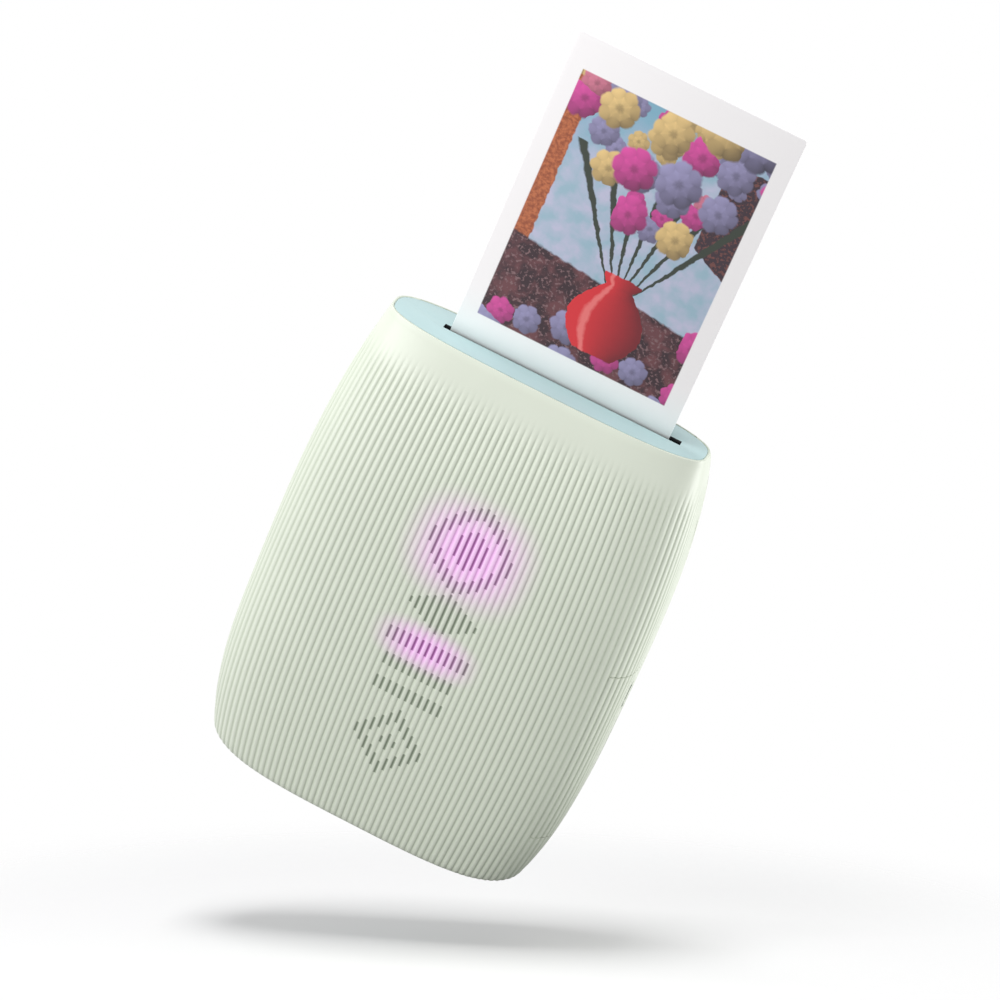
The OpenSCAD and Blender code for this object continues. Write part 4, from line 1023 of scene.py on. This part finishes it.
def blossoms(under, spacing_mm, shift, region):
    """Adds round flower heads over a picture, one in each cell of a loose grid whose middle is in the
    region: two layers of petals round a darker heart, lilac, pink or gold by the cell."""
    cell_place = vector_math("ADD", print_place, shift)
    cells = add(front_tree, "ShaderNodeTexVoronoi", cell_place, voronoi_dimensions="2D",
                keyed={"Scale": 1/spacing_mm, "Randomness": 0.62}).outputs
    hue_chance, size_chance, turn_chance = split(Value(cells["Color"]))
    middle_x, middle_z, _ = split(vector_math("SUBTRACT", Value(cells["Position"]), shift))
    offset = vector_math("SUBTRACT", cell_place, cells["Position"])
    x, z, _ = split(offset)
    size_mm = size_chance*(spacing_mm*0.16) + spacing_mm*0.36
    share = vector_math("LENGTH", offset, output="Value")/size_mm
    petal = abs((z.calc("ARCTAN2", x)*3.5 + turn_chance*3.0).calc("COSINE"))**0.6
    between_petals = 1.0 - petal
    inner = ramp(share/(between_petals*0.14 + 0.5), 0.88, 1.04, 1.0, 0.0)
    heart = ramp(share, 0.1, 0.26, 1.0, 0.0)
    lit_side = z*0.09 + x*-0.07
    level = lit_side + (petal*0.2 + 0.72) + inner*(between_petals*0.3 + 0.06) - heart*0.35
    hue = mixed(past(hue_chance, 0.36, 0.01), lilac, pink)
    hue = mixed(past(hue_chance, 0.66, 0.01), hue, gold)
    shown = region(middle_x, middle_z)*ramp(share/(petal*0.16 + 0.84), 0.94, 1.04, 1.0, 0.0)
    return mixed(shown, under, vector_math("SCALE", hue, Scale=level))


def bouquet(reach):
    """Region of the arching bunch above the vase, this wide about its stem."""
    return lambda x, z: z > abs(x - vase_x)*0.85 + (44 - reach)


def strewn(x, z):
    """A few heads that lie on the table."""
    return x*-0.2 + z < 17.0


lilac, pink, gold = colour(140, 136, 172), colour(198, 70, 146), colour(212, 182, 122)
for spacing_mm, shift, region in ((6.6, (3.1, 7.4, 0), bouquet(3.0)), (9.4, (41.7, 18.2, 0), bouquet(9.0)),
                                  (12.6, (7.3, 62.9, 0), bouquet(1.0)), (8.4, (12.6, 33.3, 0), strewn)):
    picture = blossoms(picture, spacing_mm, shift, region)
picture = mixed(0.04, mixed(in_vase, picture, vase), colour(225, 215, 225))
window = within(sheet_x, -picture_x_mm, picture_x_mm)*within(sheet_z, *picture_z_mm)
# The border's foot, by the slot, is tinted aqua: painted light bounced from the aqua plate.
border = mixed(past(sheet_z, 5, 14), colour(240, 250, 249), colour(254, 252, 252))
dress(front_shader, Base_Color=mixed(window, border, picture), Roughness=ramp(window, 0.0, 1.0, 0.45, 0.3),
      Specular_IOR_Level=0.3, Normal=bumped(noise(sheet_place, 3.0, 2.0), 0.05, 0.02))
print_back = moulded_plastic("print_back", (44, 45, 48), clouding=0.05, roughness=0.5, grain=0.12)
backward = sheet_frame.to_3x3() @ Vector((0, 1, 0))


def charcoal_back(piece):
    """Gives a sheet's back its own charcoal face."""
    piece.data.materials.append(print_back)
    for face in piece.data.polygons:
        face.material_index = int(face.normal.dot(backward) > 0.5)


charcoal_back(finish_piece(print_sheet, print_front, "print_sheet", "film", "print_sheet"))


# ---- Chassis: the light-tight film chamber of black ABS, one moulding with the roller brackets,
# the rails of the claw and the ears that the casing's screws clamp between the covers.
def softened(name, node, material, slot, width_mm, body="printer", segments=2, degrees=40):
    """A node's own form with its flat faces made whole and its edges rounded as they are moulded."""
    form = bmesh.new()
    form.from_mesh(node_mesh(node))
    bmesh.ops.dissolve_limit(form, angle_limit=math.radians(0.4), verts=form.verts, edges=form.edges)
    piece = new_piece(name, made_from(form, name))
    soften(piece, width_mm, segments, degrees)
    return finish_piece(piece, material, body, slot, node)


textured_black = moulded_plastic("textured_black", (38, 40, 42), clouding=0.07, roughness=0.56, grain=0.35)
softened("film_chamber", "chassis", textured_black, "black_plastic", 0.15)


# ---- Film pack: the disposable cartridge of black polystyrene, with two windows in its back for
# the door's springs. Its back carries two yellow guide marks and, for the fingers, a row of ribs.
lane_front_mm = -0.3
pack_mm = (61.4, 15.0, 94.0)     # width, depth and length
pack_wall_mm = 1.0
pack_front_mm = lane_front_mm - pack_wall_mm
pack_back_mm = pack_front_mm + pack_mm[1]
pack_top_mm = -17.0
pack_foot_mm = pack_top_mm - pack_mm[2]
pack_black = moulded_plastic("pack_black", (30, 31, 33), clouding=0.08, roughness=0.48, grain=0.22)
softened("film_cartridge", "film_pack", pack_black, "black_plastic", 0.2)

# Small blocks: one at each point of the mesh that the tree gets.
blocks_tree, given, blocks_out = new_tree("small_blocks", width=float, depth=float, height=float,
                                          finish=bpy.types.Material)
block_size = out(blocks_tree, "ShaderNodeCombineXYZ", given["width"], given["depth"], given["height"])
block = out(blocks_tree, "GeometryNodeMeshCube", block_size, output="Mesh")
placed = out(blocks_tree, "GeometryNodeInstanceOnPoints", given["Mesh"], None, block)
fill(blocks_out, coated(placed, given["finish"]))


def new_points(name, places):
    """A piece of loose points, their places in metres, for a tree that puts something at each."""
    points = bpy.data.meshes.new(name)
    points.from_pydata(places, [], [])
    return new_piece(name, points)


def small_blocks(name, places, size_mm, material, slot, *nodes, frame_of=path_frame, round_mm=0.0):
    """One piece of equal blocks, their middles and their size in mm in a frame of their own."""
    piece = new_points(name, [Vector(place)/1000 for place in places])
    width, depth, height = (size/1000 for size in size_mm)
    grown(piece, blocks_tree, width=width, depth=depth, height=height, finish=material)
    piece.data.transform(frame_of)
    if round_mm:
        soften(piece, round_mm)
    return finish_piece(piece, material, "printer", slot, *nodes)


mark_yellow = moulded_plastic("mark_yellow", (222, 190, 84), clouding=0.03, roughness=0.5)
small_blocks("pack_guide_marks", [(pack_mm[0]/2 - 3.2, pack_back_mm, pack_foot_mm + 8),
                                  (pack_mm[0]/2 - 3.2, pack_back_mm, pack_top_mm - 8)],
             (1.2, 0.12, 9.0), mark_yellow, "film")
rib_x_mm, rib_pitch_mm, ribs = -26.0, 1.6, 8
rib_places = [(rib_x_mm, pack_back_mm, pack_foot_mm + 4 + rib_pitch_mm*k) for k in range(ribs)]
small_blocks("pack_grip_ribs", rib_places, (7.0, 0.3, 0.6), pack_black, "black_plastic", round_mm=0.08)


# ---- Film left in the pack: nine sheets like the print, not yet exposed, stacked face to the front,
# and the pressure plate of thin spring steel whose two leaves push them against the pack's face.
sheet_pitch_mm, sheets_left, lane_mm = 0.55, 9, 0.8
stack_front_mm = lane_front_mm + lane_mm
stack_top_mm = pack_top_mm - pack_wall_mm - 0.6
film_face, face_tree, face_shader = new_material("unexposed_film")
face_x, face_z, _ = split(out(face_tree, "ShaderNodeUVMap", uv_map="sheet"))
in_window = (abs(face_x) < picture_x_mm)*((face_z > picture_z_mm[0])*(face_z < picture_z_mm[1]))
face_colour = mixed(in_window, colour(243, 240, 238), colour(112, 122, 120))
finished(face_shader, moulded, (face_colour, 0.02, 0.35), 0.05, 0.02)
stack_frames = [path_frame @ Matrix.Translation(Vector((
    0, stack_front_mm + k*sheet_pitch_mm + film_mm[2]/2, stack_top_mm - film_top_mm))/1000)
    for k in range(sheets_left)]
film_stack = new_piece("film_sheets", joined(*map(film_sheet, stack_frames)))
lay_map(film_stack, "sheet", stack_frames[0])
crisp(film_stack)
charcoal_back(finish_piece(film_stack, film_face, "printer", "film", "film_stack"))

# Drawn metal: faint streaks along the way it was drawn or turned, and smudges between them.
drawn, given, finish = finish_group("drawn_metal", ("Colour", "Color", (0.6, 0.6, 0.6, 1)),
                                    ("Roughness", "Float", 0.3), ("Stretch", "Vector", (1, 1, 1)))
tint, roughness, stretch = given[:3]
streaks = noise(vector_math("MULTIPLY", object_place(drawn), stretch), 1.0, 3.0)
smudges = noise(object_place(drawn), 160.0, 3.0)
fill(finish[0], vector_math("SCALE", tint, Scale=ramp(streaks, 0.3, 0.7, 0.88, 1.08)))
fill(finish[1], roughness + ((streaks - 0.5)*0.2 + (smudges - 0.5)*0.16))
fill(finish[2], streaks)


def drawn_metal(name, tint, roughness, stretch, depth=0.08):
    """Bare metal with its streaks closest together across the way it was drawn."""
    made, _, shader = new_material(name)
    finished(shader, drawn, (colour(*tint), roughness, stretch), depth, 0.01)
    dress(shader, Metallic=1.0)
    return made


rolled_steel = drawn_metal("rolled_steel", (186, 190, 194), 0.3, (3500, 3500, 90))
softened("pressure_plate", "pack_plate", rolled_steel, "spring_steel", 0.08)


# ---- Pick claw: a bent strip of hard steel that slides on the chassis and pushes the front sheet
# out of the pack by its lower edge.
softened("film_pick_claw", "pick_claw", rolled_steel, "spring_steel", 0.12, "pick_claw")


# ---- Exposure head: a black bar across the film with a row of fine glass rods along its back, and
# its own circuit board, joined to the main board by a flat flex cable.
softened("exposure_head", "print_head", textured_black, "black_plastic", 0.15)
rod_lens, lens_tree, lens_shader = new_material("rod_lens")
rod_turn, wires_per_m = 7800.0, 2000.0       # half a turn is one rod
rods = abs((split(object_place(lens_tree))[0]*rod_turn).calc("SINE"))
dress(lens_shader, Base_Color=mixed(rods, colour(70, 92, 104), colour(196, 220, 230)),
      Normal=bumped(rods, 0.3, 0.05), Roughness=0.12, Transmission_Weight=0.5)
softened("head_rod_lens", "head_lens", rod_lens, "lens", 0.15)


def circuit_board(name, mask, track, plane="XZ", pitch_mm=1.1):
    """Circuit board: raised tracks under the solder mask and tinned pads, on one plane."""
    made, tree, shader = new_material(name)
    here = split(object_place(tree))
    u, v = (here["XYZ".index(letter)]*(1000/pitch_mm) for letter in plane)
    tracks = []
    for across, lane_u, lane_v, kept_above in ((u, u, v*0.16, 0.45), (v, u*0.2, v, 0.72)):
        lane = out(tree, "ShaderNodeCombineXYZ", lane_u.calc("FLOOR"), lane_v.calc("FLOOR"))
        kept = out(tree, "ShaderNodeTexWhiteNoise", lane, noise_dimensions="3D") > kept_above
        tracks.append((abs(across.calc("FRACT") - 0.5) < 0.13)*kept)
    dots = add(tree, "ShaderNodeTexVoronoi", out(tree, "ShaderNodeCombineXYZ", u, v), voronoi_dimensions="2D",
               keyed={"Scale": 0.42, "Randomness": 0.5}).outputs
    pads = (split(Value(dots["Color"]))[0] > 0.55)*(Value(dots["Distance"]) < 0.42)
    raised = tracks[0] | tracks[1]
    tinted = mixed(pads, mixed(raised, colour(*mask), colour(*track)), colour(196, 198, 196))
    finished(shader, moulded, (tinted, 0.04, 0.32), 0.5, height=raised | pads)
    dress(shader, Metallic=pads*0.85)
    return made


board_green, track_green = (28, 92, 58), (52, 128, 82)
green_board = circuit_board("green_board", board_green, track_green)
softened("head_circuit", "head_board", green_board, "circuit", 0.06)
amber_flex, flex_tree, flex_shader = new_material("amber_flex")
wires = (split(object_place(flex_tree))[0]*wires_per_m).calc("FRACT") > 0.45
finished(flex_shader, moulded, (mixed(wires, colour(190, 140, 58), colour(214, 170, 92)), 0.03, 0.3), 0.3,
         height=wires)
softened("head_flex_cable", "flex_cable", amber_flex, "flex", 0.05)


# ---- Spreading rollers: two ground steel rollers that draw the sheet out and spread its chemistry,
# in bushes of sintered bronze, with a flat spring link at each end that pulls them together.
ground_steel = drawn_metal("ground_steel", (198, 201, 204), 0.22, (5200, 400, 400), 0.05)
sintered_bronze = drawn_metal("sintered_bronze", (178, 140, 84), 0.42, (900, 2600, 2600), 0.25)
for name, node in (("upper_drive_roller", "drive_roller"), ("lower_pinch_roller", "pinch_roller")):
    softened(name, node, ground_steel, "spring_steel", 0.15, node)
softened("journal_bushes", "roller_bushes", sintered_bronze, "bush_brass", 0.08)
softened("roller_links", "pinch_springs", rolled_steel, "spring_steel", 0.06)


# ---- Gear train: acetal gears from the motor's brass pinion up to the drive roller, on two steel
# shafts held by a plate that is screwed to the chassis.
acetal = moulded_plastic("acetal", (232, 228, 214), clouding=0.02, roughness=0.34, grain=0.05)
turned_brass = drawn_metal("turned_brass", (208, 172, 96), 0.25, (900, 2600, 2600), 0.1)
for name, node, material, body, slot in (
        ("drive_roller_gear", "roller_gear", acetal, "drive_roller", "gear_plastic"),
        ("idle_gear", "idler_gear", acetal, "idler_gear", "gear_plastic"),
        ("step_down_gear", "reduction_gear", acetal, "reduction_gear", "gear_plastic"),
        ("brass_pinion", "motor_pinion", turned_brass, "motor_pinion", "bush_brass")):
    softened(name, node, material, slot, 0.05, body, 1)
softened("gear_axles", "gear_shafts", ground_steel, "spring_steel", 0.15)
softened("gear_holder", "gear_plate", rolled_steel, "spring_steel", 0.12)


# ---- Drive motor: a small drawn steel can with a raised nose at its shaft, a rolled rear edge and a
# plastic end cap with two solder tabs.
motor_at_mm = (9.0, -11.2)       # behind and below the exit of the film path
motor_r_mm, motor_front_mm, motor_long_mm, axle_r_mm = 4.0, -28.9, 16.8, 0.75
motor_frame = path_frame @ Matrix.Translation(Vector((0, *motor_at_mm))/1000)


def turned_part(name, profile, material, slot, *nodes, count=48):
    """A part turned about the motor's axis, from its closed profile of (x, radius) in mm."""
    form = bmesh.new()
    rings = [[form.verts.new((x/1000, radius*math.cos(a)/1000, radius*math.sin(a)/1000))
              for a in np.linspace(0, 2*math.pi, count, endpoint=False)] for x, radius in profile]
    for first, second in zip(rings, rings[1:] + rings[:1]):
        for k in range(count):
            form.faces.new((first[k], first[(k + 1) % count], second[(k + 1) % count], second[k]))
    bmesh.ops.recalc_face_normals(form, faces=form.faces)
    piece = new_piece(name, made_from(form, name))
    piece.data.transform(motor_frame)
    crisp(piece, 40)
    return finish_piece(piece, material, "printer", slot, *nodes)


can_end_mm = motor_front_mm + motor_long_mm - 1.6
front, end, radius = motor_front_mm, can_end_mm, motor_r_mm
turned_part("motor_can", [
    (front + 3.4, axle_r_mm + 0.05), (front, axle_r_mm + 0.05), (front, 1.5), (front + 0.5, 1.6),
    (front + 0.5, radius - 0.7), (front + 0.62, radius - 0.3), (front + 0.9, radius - 0.07),
    (front + 1.3, radius), (end - 1.5, radius), (end - 1.3, radius - 0.15), (end - 1.0, radius - 0.15),
    (end - 0.8, radius), (end - 0.2, radius), (end, radius - 0.25), (end, axle_r_mm + 0.05)],
    drawn_metal("drawn_can", (176, 180, 184), 0.34, (200, 2400, 2400)), "motor_steel", "drive_motor")
turned_part("motor_end_cap", [
    (end - 0.4, 0.3), (end - 0.4, radius - 0.4), (end + 0.7, radius - 0.4), (end + 0.9, radius - 0.7),
    (end + 0.9, 1.5), (end + 1.6, 1.3), (end + 1.6, 0.3)], textured_black, "black_plastic")
tinned = drawn_metal("tinned_copper", (206, 206, 200), 0.3, (1500, 1500, 1500), 0.1)
gilt = drawn_metal("gilt_contact", (226, 186, 104), 0.22, (1500, 1500, 1500), 0.05)
small_blocks("motor_tabs", [(end + 0.9, y, 0) for y in (-2.6, 2.6)], (1.3, 0.3, 1.4), tinned, "motor_steel",
             frame_of=motor_frame, round_mm=0.06)


# ---- Main board: the processor, power chips and the flex connector, soldered to a green board that
# is screwed to the front of the chamber.
board_face_mm = -4.3             # the fronts of the boards, in the film path's frame
board_x_mm, board_z_mm = (11.5, 29.2), (-81, -28)    # the places of its screws
# Middle, width, height and thickness of each chip, and of the connector.
chips_mm = [(20.5, -38, 13, 12, 1.3), (16, -55, 7, 7, 0.9), (25.5, -56, 5, 6, 0.9), (18, -70, 5, 5, 1.2),
            (28, -72, 4, 7, 1.1)]
connector_mm = (16.8, -30.2, 9.2, 2.4, 1.1)
foot_pitch_mm, foot_thick_mm, foot_reach_mm = 0.65, 0.24, 0.35


def on_board(x0, x1, z0, z1, out_mm, in_mm):
    """Closed form on the main board, from out_mm to in_mm in front of its face."""
    return prism(box_outline(x0, x1, z0, z1), "Y", board_face_mm - out_mm, board_face_mm - in_mm, path_frame)


softened("main_circuit", "main_board", green_board, "circuit", 0.06)
epoxy = moulded_plastic("chip_epoxy", (36, 37, 40), clouding=0.06, roughness=0.4, grain=0.2)
bodies = [on_board(x - w/2 + foot_reach_mm, x + w/2 - foot_reach_mm, z - h/2 + foot_reach_mm,
                   z + h/2 - foot_reach_mm, t, foot_thick_mm/2) for x, z, w, h, t in chips_mm]
fixed_part("chip_bodies", joined(*bodies), 0.12, epoxy, "chip", "board_parts")
chip_feet = []
for x, z, w, h, _ in chips_mm:
    chip_feet += [(x + k, board_face_mm - foot_thick_mm/2, z + s*(h/2 - 0.2))
                  for k in np.arange(-w/2 + 0.9, w/2 - 0.7, foot_pitch_mm) for s in (-1, 1)]
    chip_feet += [(x + s*(w/2 - 0.2), board_face_mm - foot_thick_mm/2, z + k)
                  for k in np.arange(-h/2 + 0.9, h/2 - 0.7, foot_pitch_mm) for s in (-1, 1)]
small_blocks("chip_feet", chip_feet, (0.38, foot_thick_mm, 0.38), tinned, "inlet_steel")
x, z, w, h, t = connector_mm
fixed_part("flex_connector", on_board(x - w/2, x + w/2, z - h/2, z + h/2, t, 0), 0.08,
           moulded_plastic("connector_ivory", (222, 214, 192), roughness=0.45), "chip",
           cutter=on_board(x - w/2 + 0.5, x + w/2 - 0.5, z - 0.2, z + h, t - 0.3, 0.35))
rng = np.random.default_rng(11)
tries, column_mm, row_mm, clear_mm, screw_clear_mm = 90, 1.3, 1.7, 0.9, 2.4
capacitors = sorted({
    (float(x), board_face_mm - 0.2, float(z))
    for x, z in zip(np.round(rng.uniform(board_x_mm[0], 30, tries)/column_mm)*column_mm,
                    np.round(rng.uniform(board_z_mm[0], -30, tries)/row_mm)*row_mm)
    if all(abs(x - cx) > cw/2 + clear_mm or abs(z - cz) > ch/2 + clear_mm
           for cx, cz, cw, ch, _ in chips_mm + [connector_mm])
    and all(abs(x - sx) > screw_clear_mm or abs(z - sz) > screw_clear_mm
            for sx in board_x_mm for sz in board_z_mm)})
small_blocks("chip_capacitors", capacitors, (0.5, 0.4, 0.9),
             moulded_plastic("capacitor_tan", (176, 142, 104), roughness=0.4), "chip")
small_blocks("capacitor_ends", [(x, y, z + s*0.42) for x, y, z in capacitors for s in (-1, 1)],
             (0.52, 0.42, 0.2), tinned, "inlet_steel")


# ---- Light marks: twelve lamps on a white board behind the front, under a milky acrylic guide. They
# give no light here: their glow over the grooves is painted on the front of the casing.
white_board = circuit_board("white_board", (228, 228, 222), (206, 208, 200))
softened("lamp_circuit", "led_board", white_board, "light_board", 0.06)
lamp_x_mm, lamp_z_mm = (-9.0, 1.0), np.linspace(-92, -34, 6)
lamp_places = [(x, board_face_mm - 0.35, float(z)) for x in lamp_x_mm for z in lamp_z_mm]
small_blocks("lamp_bodies", lamp_places, (1.8, 0.7, 1.8),
             moulded_plastic("lamp_white", (240, 240, 234), roughness=0.4), "led", "leds", round_mm=0.12)
phosphor, glow_tree, glow_shader = new_material("lamp_phosphor")
glow_grain = noise(object_place(glow_tree), 5000.0, None)
dress(glow_shader, Base_Color=mixed(glow_grain, colour(232, 204, 84), colour(244, 226, 130)), Roughness=0.2)
small_blocks("lamp_windows", [(x, y - 0.33, z) for x, y, z in lamp_places], (1.2, 0.1, 1.2), phosphor, "led")
milky, _, milky_shader = new_material("milky_acrylic")
finished(milky_shader, moulded, (colour(238, 240, 236), 0.02, 0.4), 0.2)
dress(milky_shader, Transmission_Weight=0.4)
softened("front_light_guide", "light_guide", milky, "diffuser", 0.15, degrees=50)


# ---- Battery: a lithium pouch in silver laminate, its ends folded over and taped in amber.
def box_mm(node):
    """Low and high corners of a construction node, in mm."""
    return [[float(value)*1000 for value in corner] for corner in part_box(node)]


crumpled, foil_tree, foil_shader = new_material("pouch_foil")
creases = out(foil_tree, "ShaderNodeTexNoise", object_place(foil_tree), None, 260.0, 4.0, 0.55, 2.0, 1.2)
finished(foil_shader, drawn, (colour(190, 194, 198), 0.34, (400, 400, 400)), 0.35, 0.2, creases)
dress(foil_shader, Metallic=0.85)
softened("battery_pouch", "battery", crumpled, "battery_foil", 1.1, segments=5)
low, high = box_mm("battery")
fixed_part("battery_tape", prism(box_outline(low[1] + 0.5, high[1] - 0.5, high[2] - 5.5, high[2] - 0.9), "X",
                                 low[0] - 0.04, high[0] + 0.04), 0.05, amber_flex, "battery_foil")


# ---- Power button: a slim rocker of grey-green plastic, sunk a little in the side panel, with its
# flange behind the panel and a tactile switch on a small board behind it.
button_plastic = moulded_plastic("button_plastic", (64, 82, 76), clouding=0.03, roughness=0.4, grain=0.12)
softened("power_rocker", "power_button", button_plastic, "button", 0.3, "power_button", 4)
side_board = circuit_board("side_board", board_green, track_green, "YZ")
softened("button_circuit", "button_board", side_board, "circuit", 0.06)
softened("tactile_switch", "button_switch", epoxy, "chip", 0.15)
low, high = box_mm("button_switch")
small_blocks("switch_feet", [(low[0] + 0.12, y, z) for y in (low[1] - 0.4, high[1] + 0.4)
                             for z in (low[2] + 0.8, high[2] - 0.8)],
             (0.24, 1.0, 0.7), tinned, "inlet_steel", frame_of=Matrix())


# ---- Charging inlet: a drawn steel shell with a black tongue and gilt contacts, soldered to a board
# of its own at the left side.
shell_steel = drawn_metal("shell_steel", (192, 195, 198), 0.26, (200, 2600, 2600))
inlet_out_mm = (8.94, 3.16)
inlet_wall_mm, inlet_long_mm = 0.35, 7.3
mouth_x, inlet_end = box_mm("usb_inlet")[0][0], box_mm("usb_inlet")[0][0] + inlet_long_mm
inlet_in_mm = [size - 2*inlet_wall_mm for size in inlet_out_mm]
fixed_part("inlet_shell", prism(stadium(inlet_mm, *inlet_out_mm), "X", mouth_x, inlet_end), 0.1, shell_steel,
           "inlet_steel", "usb_inlet", segments=3,
           cutter=prism(stadium(inlet_mm, *inlet_in_mm), "X", mouth_x - 1, inlet_end - 1))
y, z = inlet_mm
fixed_part("inlet_tongue", prism(box_outline(y - 0.35, y + 0.35, z - 3.2, z + 3.2), "X", mouth_x + 1,
                                 inlet_end - 0.5), 0.12, black_plastic, "black_plastic")
contacts = [(mouth_x + 3.4, y + s*0.36, z + 0.5*k) for s in (-1, 1) for k in range(-5, 6) if k]
small_blocks("inlet_contacts", contacts, (3.6, 0.06, 0.25), gilt, "inlet_steel", frame_of=Matrix())
softened("inlet_circuit", "usb_board", green_board, "circuit", 0.06)


# ---- Door's inside: a black liner that closes the chamber, a foam seal round it, two bowed spring
# leaves that press on the film, the sliding latch and the two hinge pins.
softened("door_liner_tray", "door_liner", textured_black, "black_plastic", 0.15, "film_door")
foam, foam_tree, foam_shader = new_material("black_foam")
bubbles = out(foam_tree, "ShaderNodeTexVoronoi", object_place(foam_tree), keyed={"Scale": 2600.0},
              output="Distance")
dress(foam_shader, Base_Color=mixed(bubbles, colour(22, 23, 24), colour(60, 61, 63)), Roughness=0.95,
      Normal=bumped(bubbles, 0.7, 0.15))
softened("chamber_seal", "door_seal", foam, "foam", 0.3, "film_door", 3)
softened("film_pressure_springs", "pressure_springs", rolled_steel, "spring_steel", 0.06, "film_door",
         degrees=60)
softened("hinge_rods", "hinge_pins", ground_steel, "spring_steel", 0.25)
softened("latch_slider", "door_latch", aqua_plastic, "aqua", 0.22, "door_latch", 3)


# ---- Screws: cross-head steel screws, four through the rear cover, two in the gear plate and four in
# the main board. One tree makes a screw at each place, its thread a fine spiral round the shank.
zinc = drawn_metal("zinc_plate", (168, 172, 176), 0.36, (1200, 1200, 1200), 0.15)
screws, given, screws_out = new_tree(
    "cross_head_screws", head_radius=float, head_height=float, shank_radius=float, shank_length=float,
    pitch=float, recess=float, slot_width=float, finish=bpy.types.Material)
head_radius, head_height = given["head_radius"], given["head_height"]
shank_radius, shank_length = given["shank_radius"], given["shank_length"]


def cone(vertices, bottom, top, depth):
    return out(screws, "GeometryNodeMeshCone", output="Mesh", keyed={
        "Vertices": vertices, "Radius Bottom": bottom, "Radius Top": top, "Depth": depth})


def raised_by(part, height):
    up = out(screws, "ShaderNodeCombineXYZ", None, None, height)
    return out(screws, "GeometryNodeTransform", part, keyed={"Translation": up})


head = add(screws, "GeometryNodeMeshBoolean", operation="DIFFERENCE", solver="EXACT", keyed={
    "Mesh 1": cone(40, head_radius, head_radius*0.82, head_height)})
for size in ((given["recess"], given["slot_width"]), (given["slot_width"], given["recess"])):
    bar_size = out(screws, "ShaderNodeCombineXYZ", *size, head_height)
    bar = out(screws, "GeometryNodeMeshCube", bar_size, output="Mesh")
    fill(head.inputs["Mesh 2"], raised_by(bar, head_height))
shank = out(screws, "GeometryNodeTransform", cone(20, shank_radius*0.84, shank_radius*0.5, shank_length),
            keyed={"Rotation": (math.pi, 0, 0)})
spiral = out(screws, "GeometryNodeCurveSpiral", keyed={
    "Resolution": 16, "Rotations": shank_length/given["pitch"], "Start Radius": shank_radius*0.82,
    "End Radius": shank_radius*0.82, "Height": shank_length})
ridge = out(screws, "GeometryNodeCurvePrimitiveCircle", output="Curve", keyed={
    "Resolution": 3, "Radius": shank_radius*0.17})
thread = out(screws, "GeometryNodeCurveToMesh", spiral, ridge, keyed={"Fill Caps": True})
whole = add(screws, "GeometryNodeJoinGeometry")
for part in (head.outputs[0], shank, raised_by(thread, shank_length*-1.0)):
    fill(whole.inputs[0], part)
at_places = out(screws, "GeometryNodeInstanceOnPoints", given["Mesh"], None, whole.outputs[0])
fill(screws_out, coated(at_places, given["finish"]))


def cross_screws(name, places, head_mm, shank_mm, pitch_mm, frame_of, turn, *nodes):
    """Screws at places in a frame, all sizes in mm; turn takes Z to the way their heads face."""
    piece = new_points(name, [turn.inverted() @ (Vector(place)/1000) for place in places])
    sizes_mm = {"head_radius": head_mm[0], "head_height": head_mm[1], "shank_radius": shank_mm[0],
                "shank_length": shank_mm[1], "pitch": pitch_mm, "recess": head_mm[0]*1.1,
                "slot_width": head_mm[0]*0.26}
    grown(piece, screws, finish=zinc, **{size: value/1000 for size, value in sizes_mm.items()})
    piece.data.transform(frame_of @ turn)
    crisp(piece, 40)
    return finish_piece(piece, zinc, "printer", "screw_steel", *nodes)


to_back, to_front = (Matrix.Rotation(math.radians(a), 4, "X") for a in (-90, 90))
to_left = Matrix.Rotation(math.radians(-90), 4, "Y")
screw_end_mm = -4.3              # depth in the front bosses at which the casing screws end
for name, places, nodes in (("lower_casing_screws", screw_places[::2], ["case_screws"]),
                            ("upper_casing_screws", screw_places[1::2], [])):
    seat = screw_seat(places[0])
    cross_screws(name, [(x, seat, z) for x, z in places], (head_r_mm, 1.2), (screw_r_mm, seat - screw_end_mm),
                 0.8, Matrix(), to_back, *nodes)
holder_screws_mm = [(-37.9, -1.2, -27.47), (-37.9, 12.0, -31.07)]
cross_screws("gear_holder_screws", holder_screws_mm, (1.2, 0.7), (0.6, 3.8), 0.5, path_frame, to_left,
             "frame_screws")
cross_screws("main_board_screws", [(x, board_face_mm, z) for x in board_x_mm for z in board_z_mm], (1.1, 0.6),
             (0.55, 2.1), 0.4, path_frame, to_front, "board_screws")
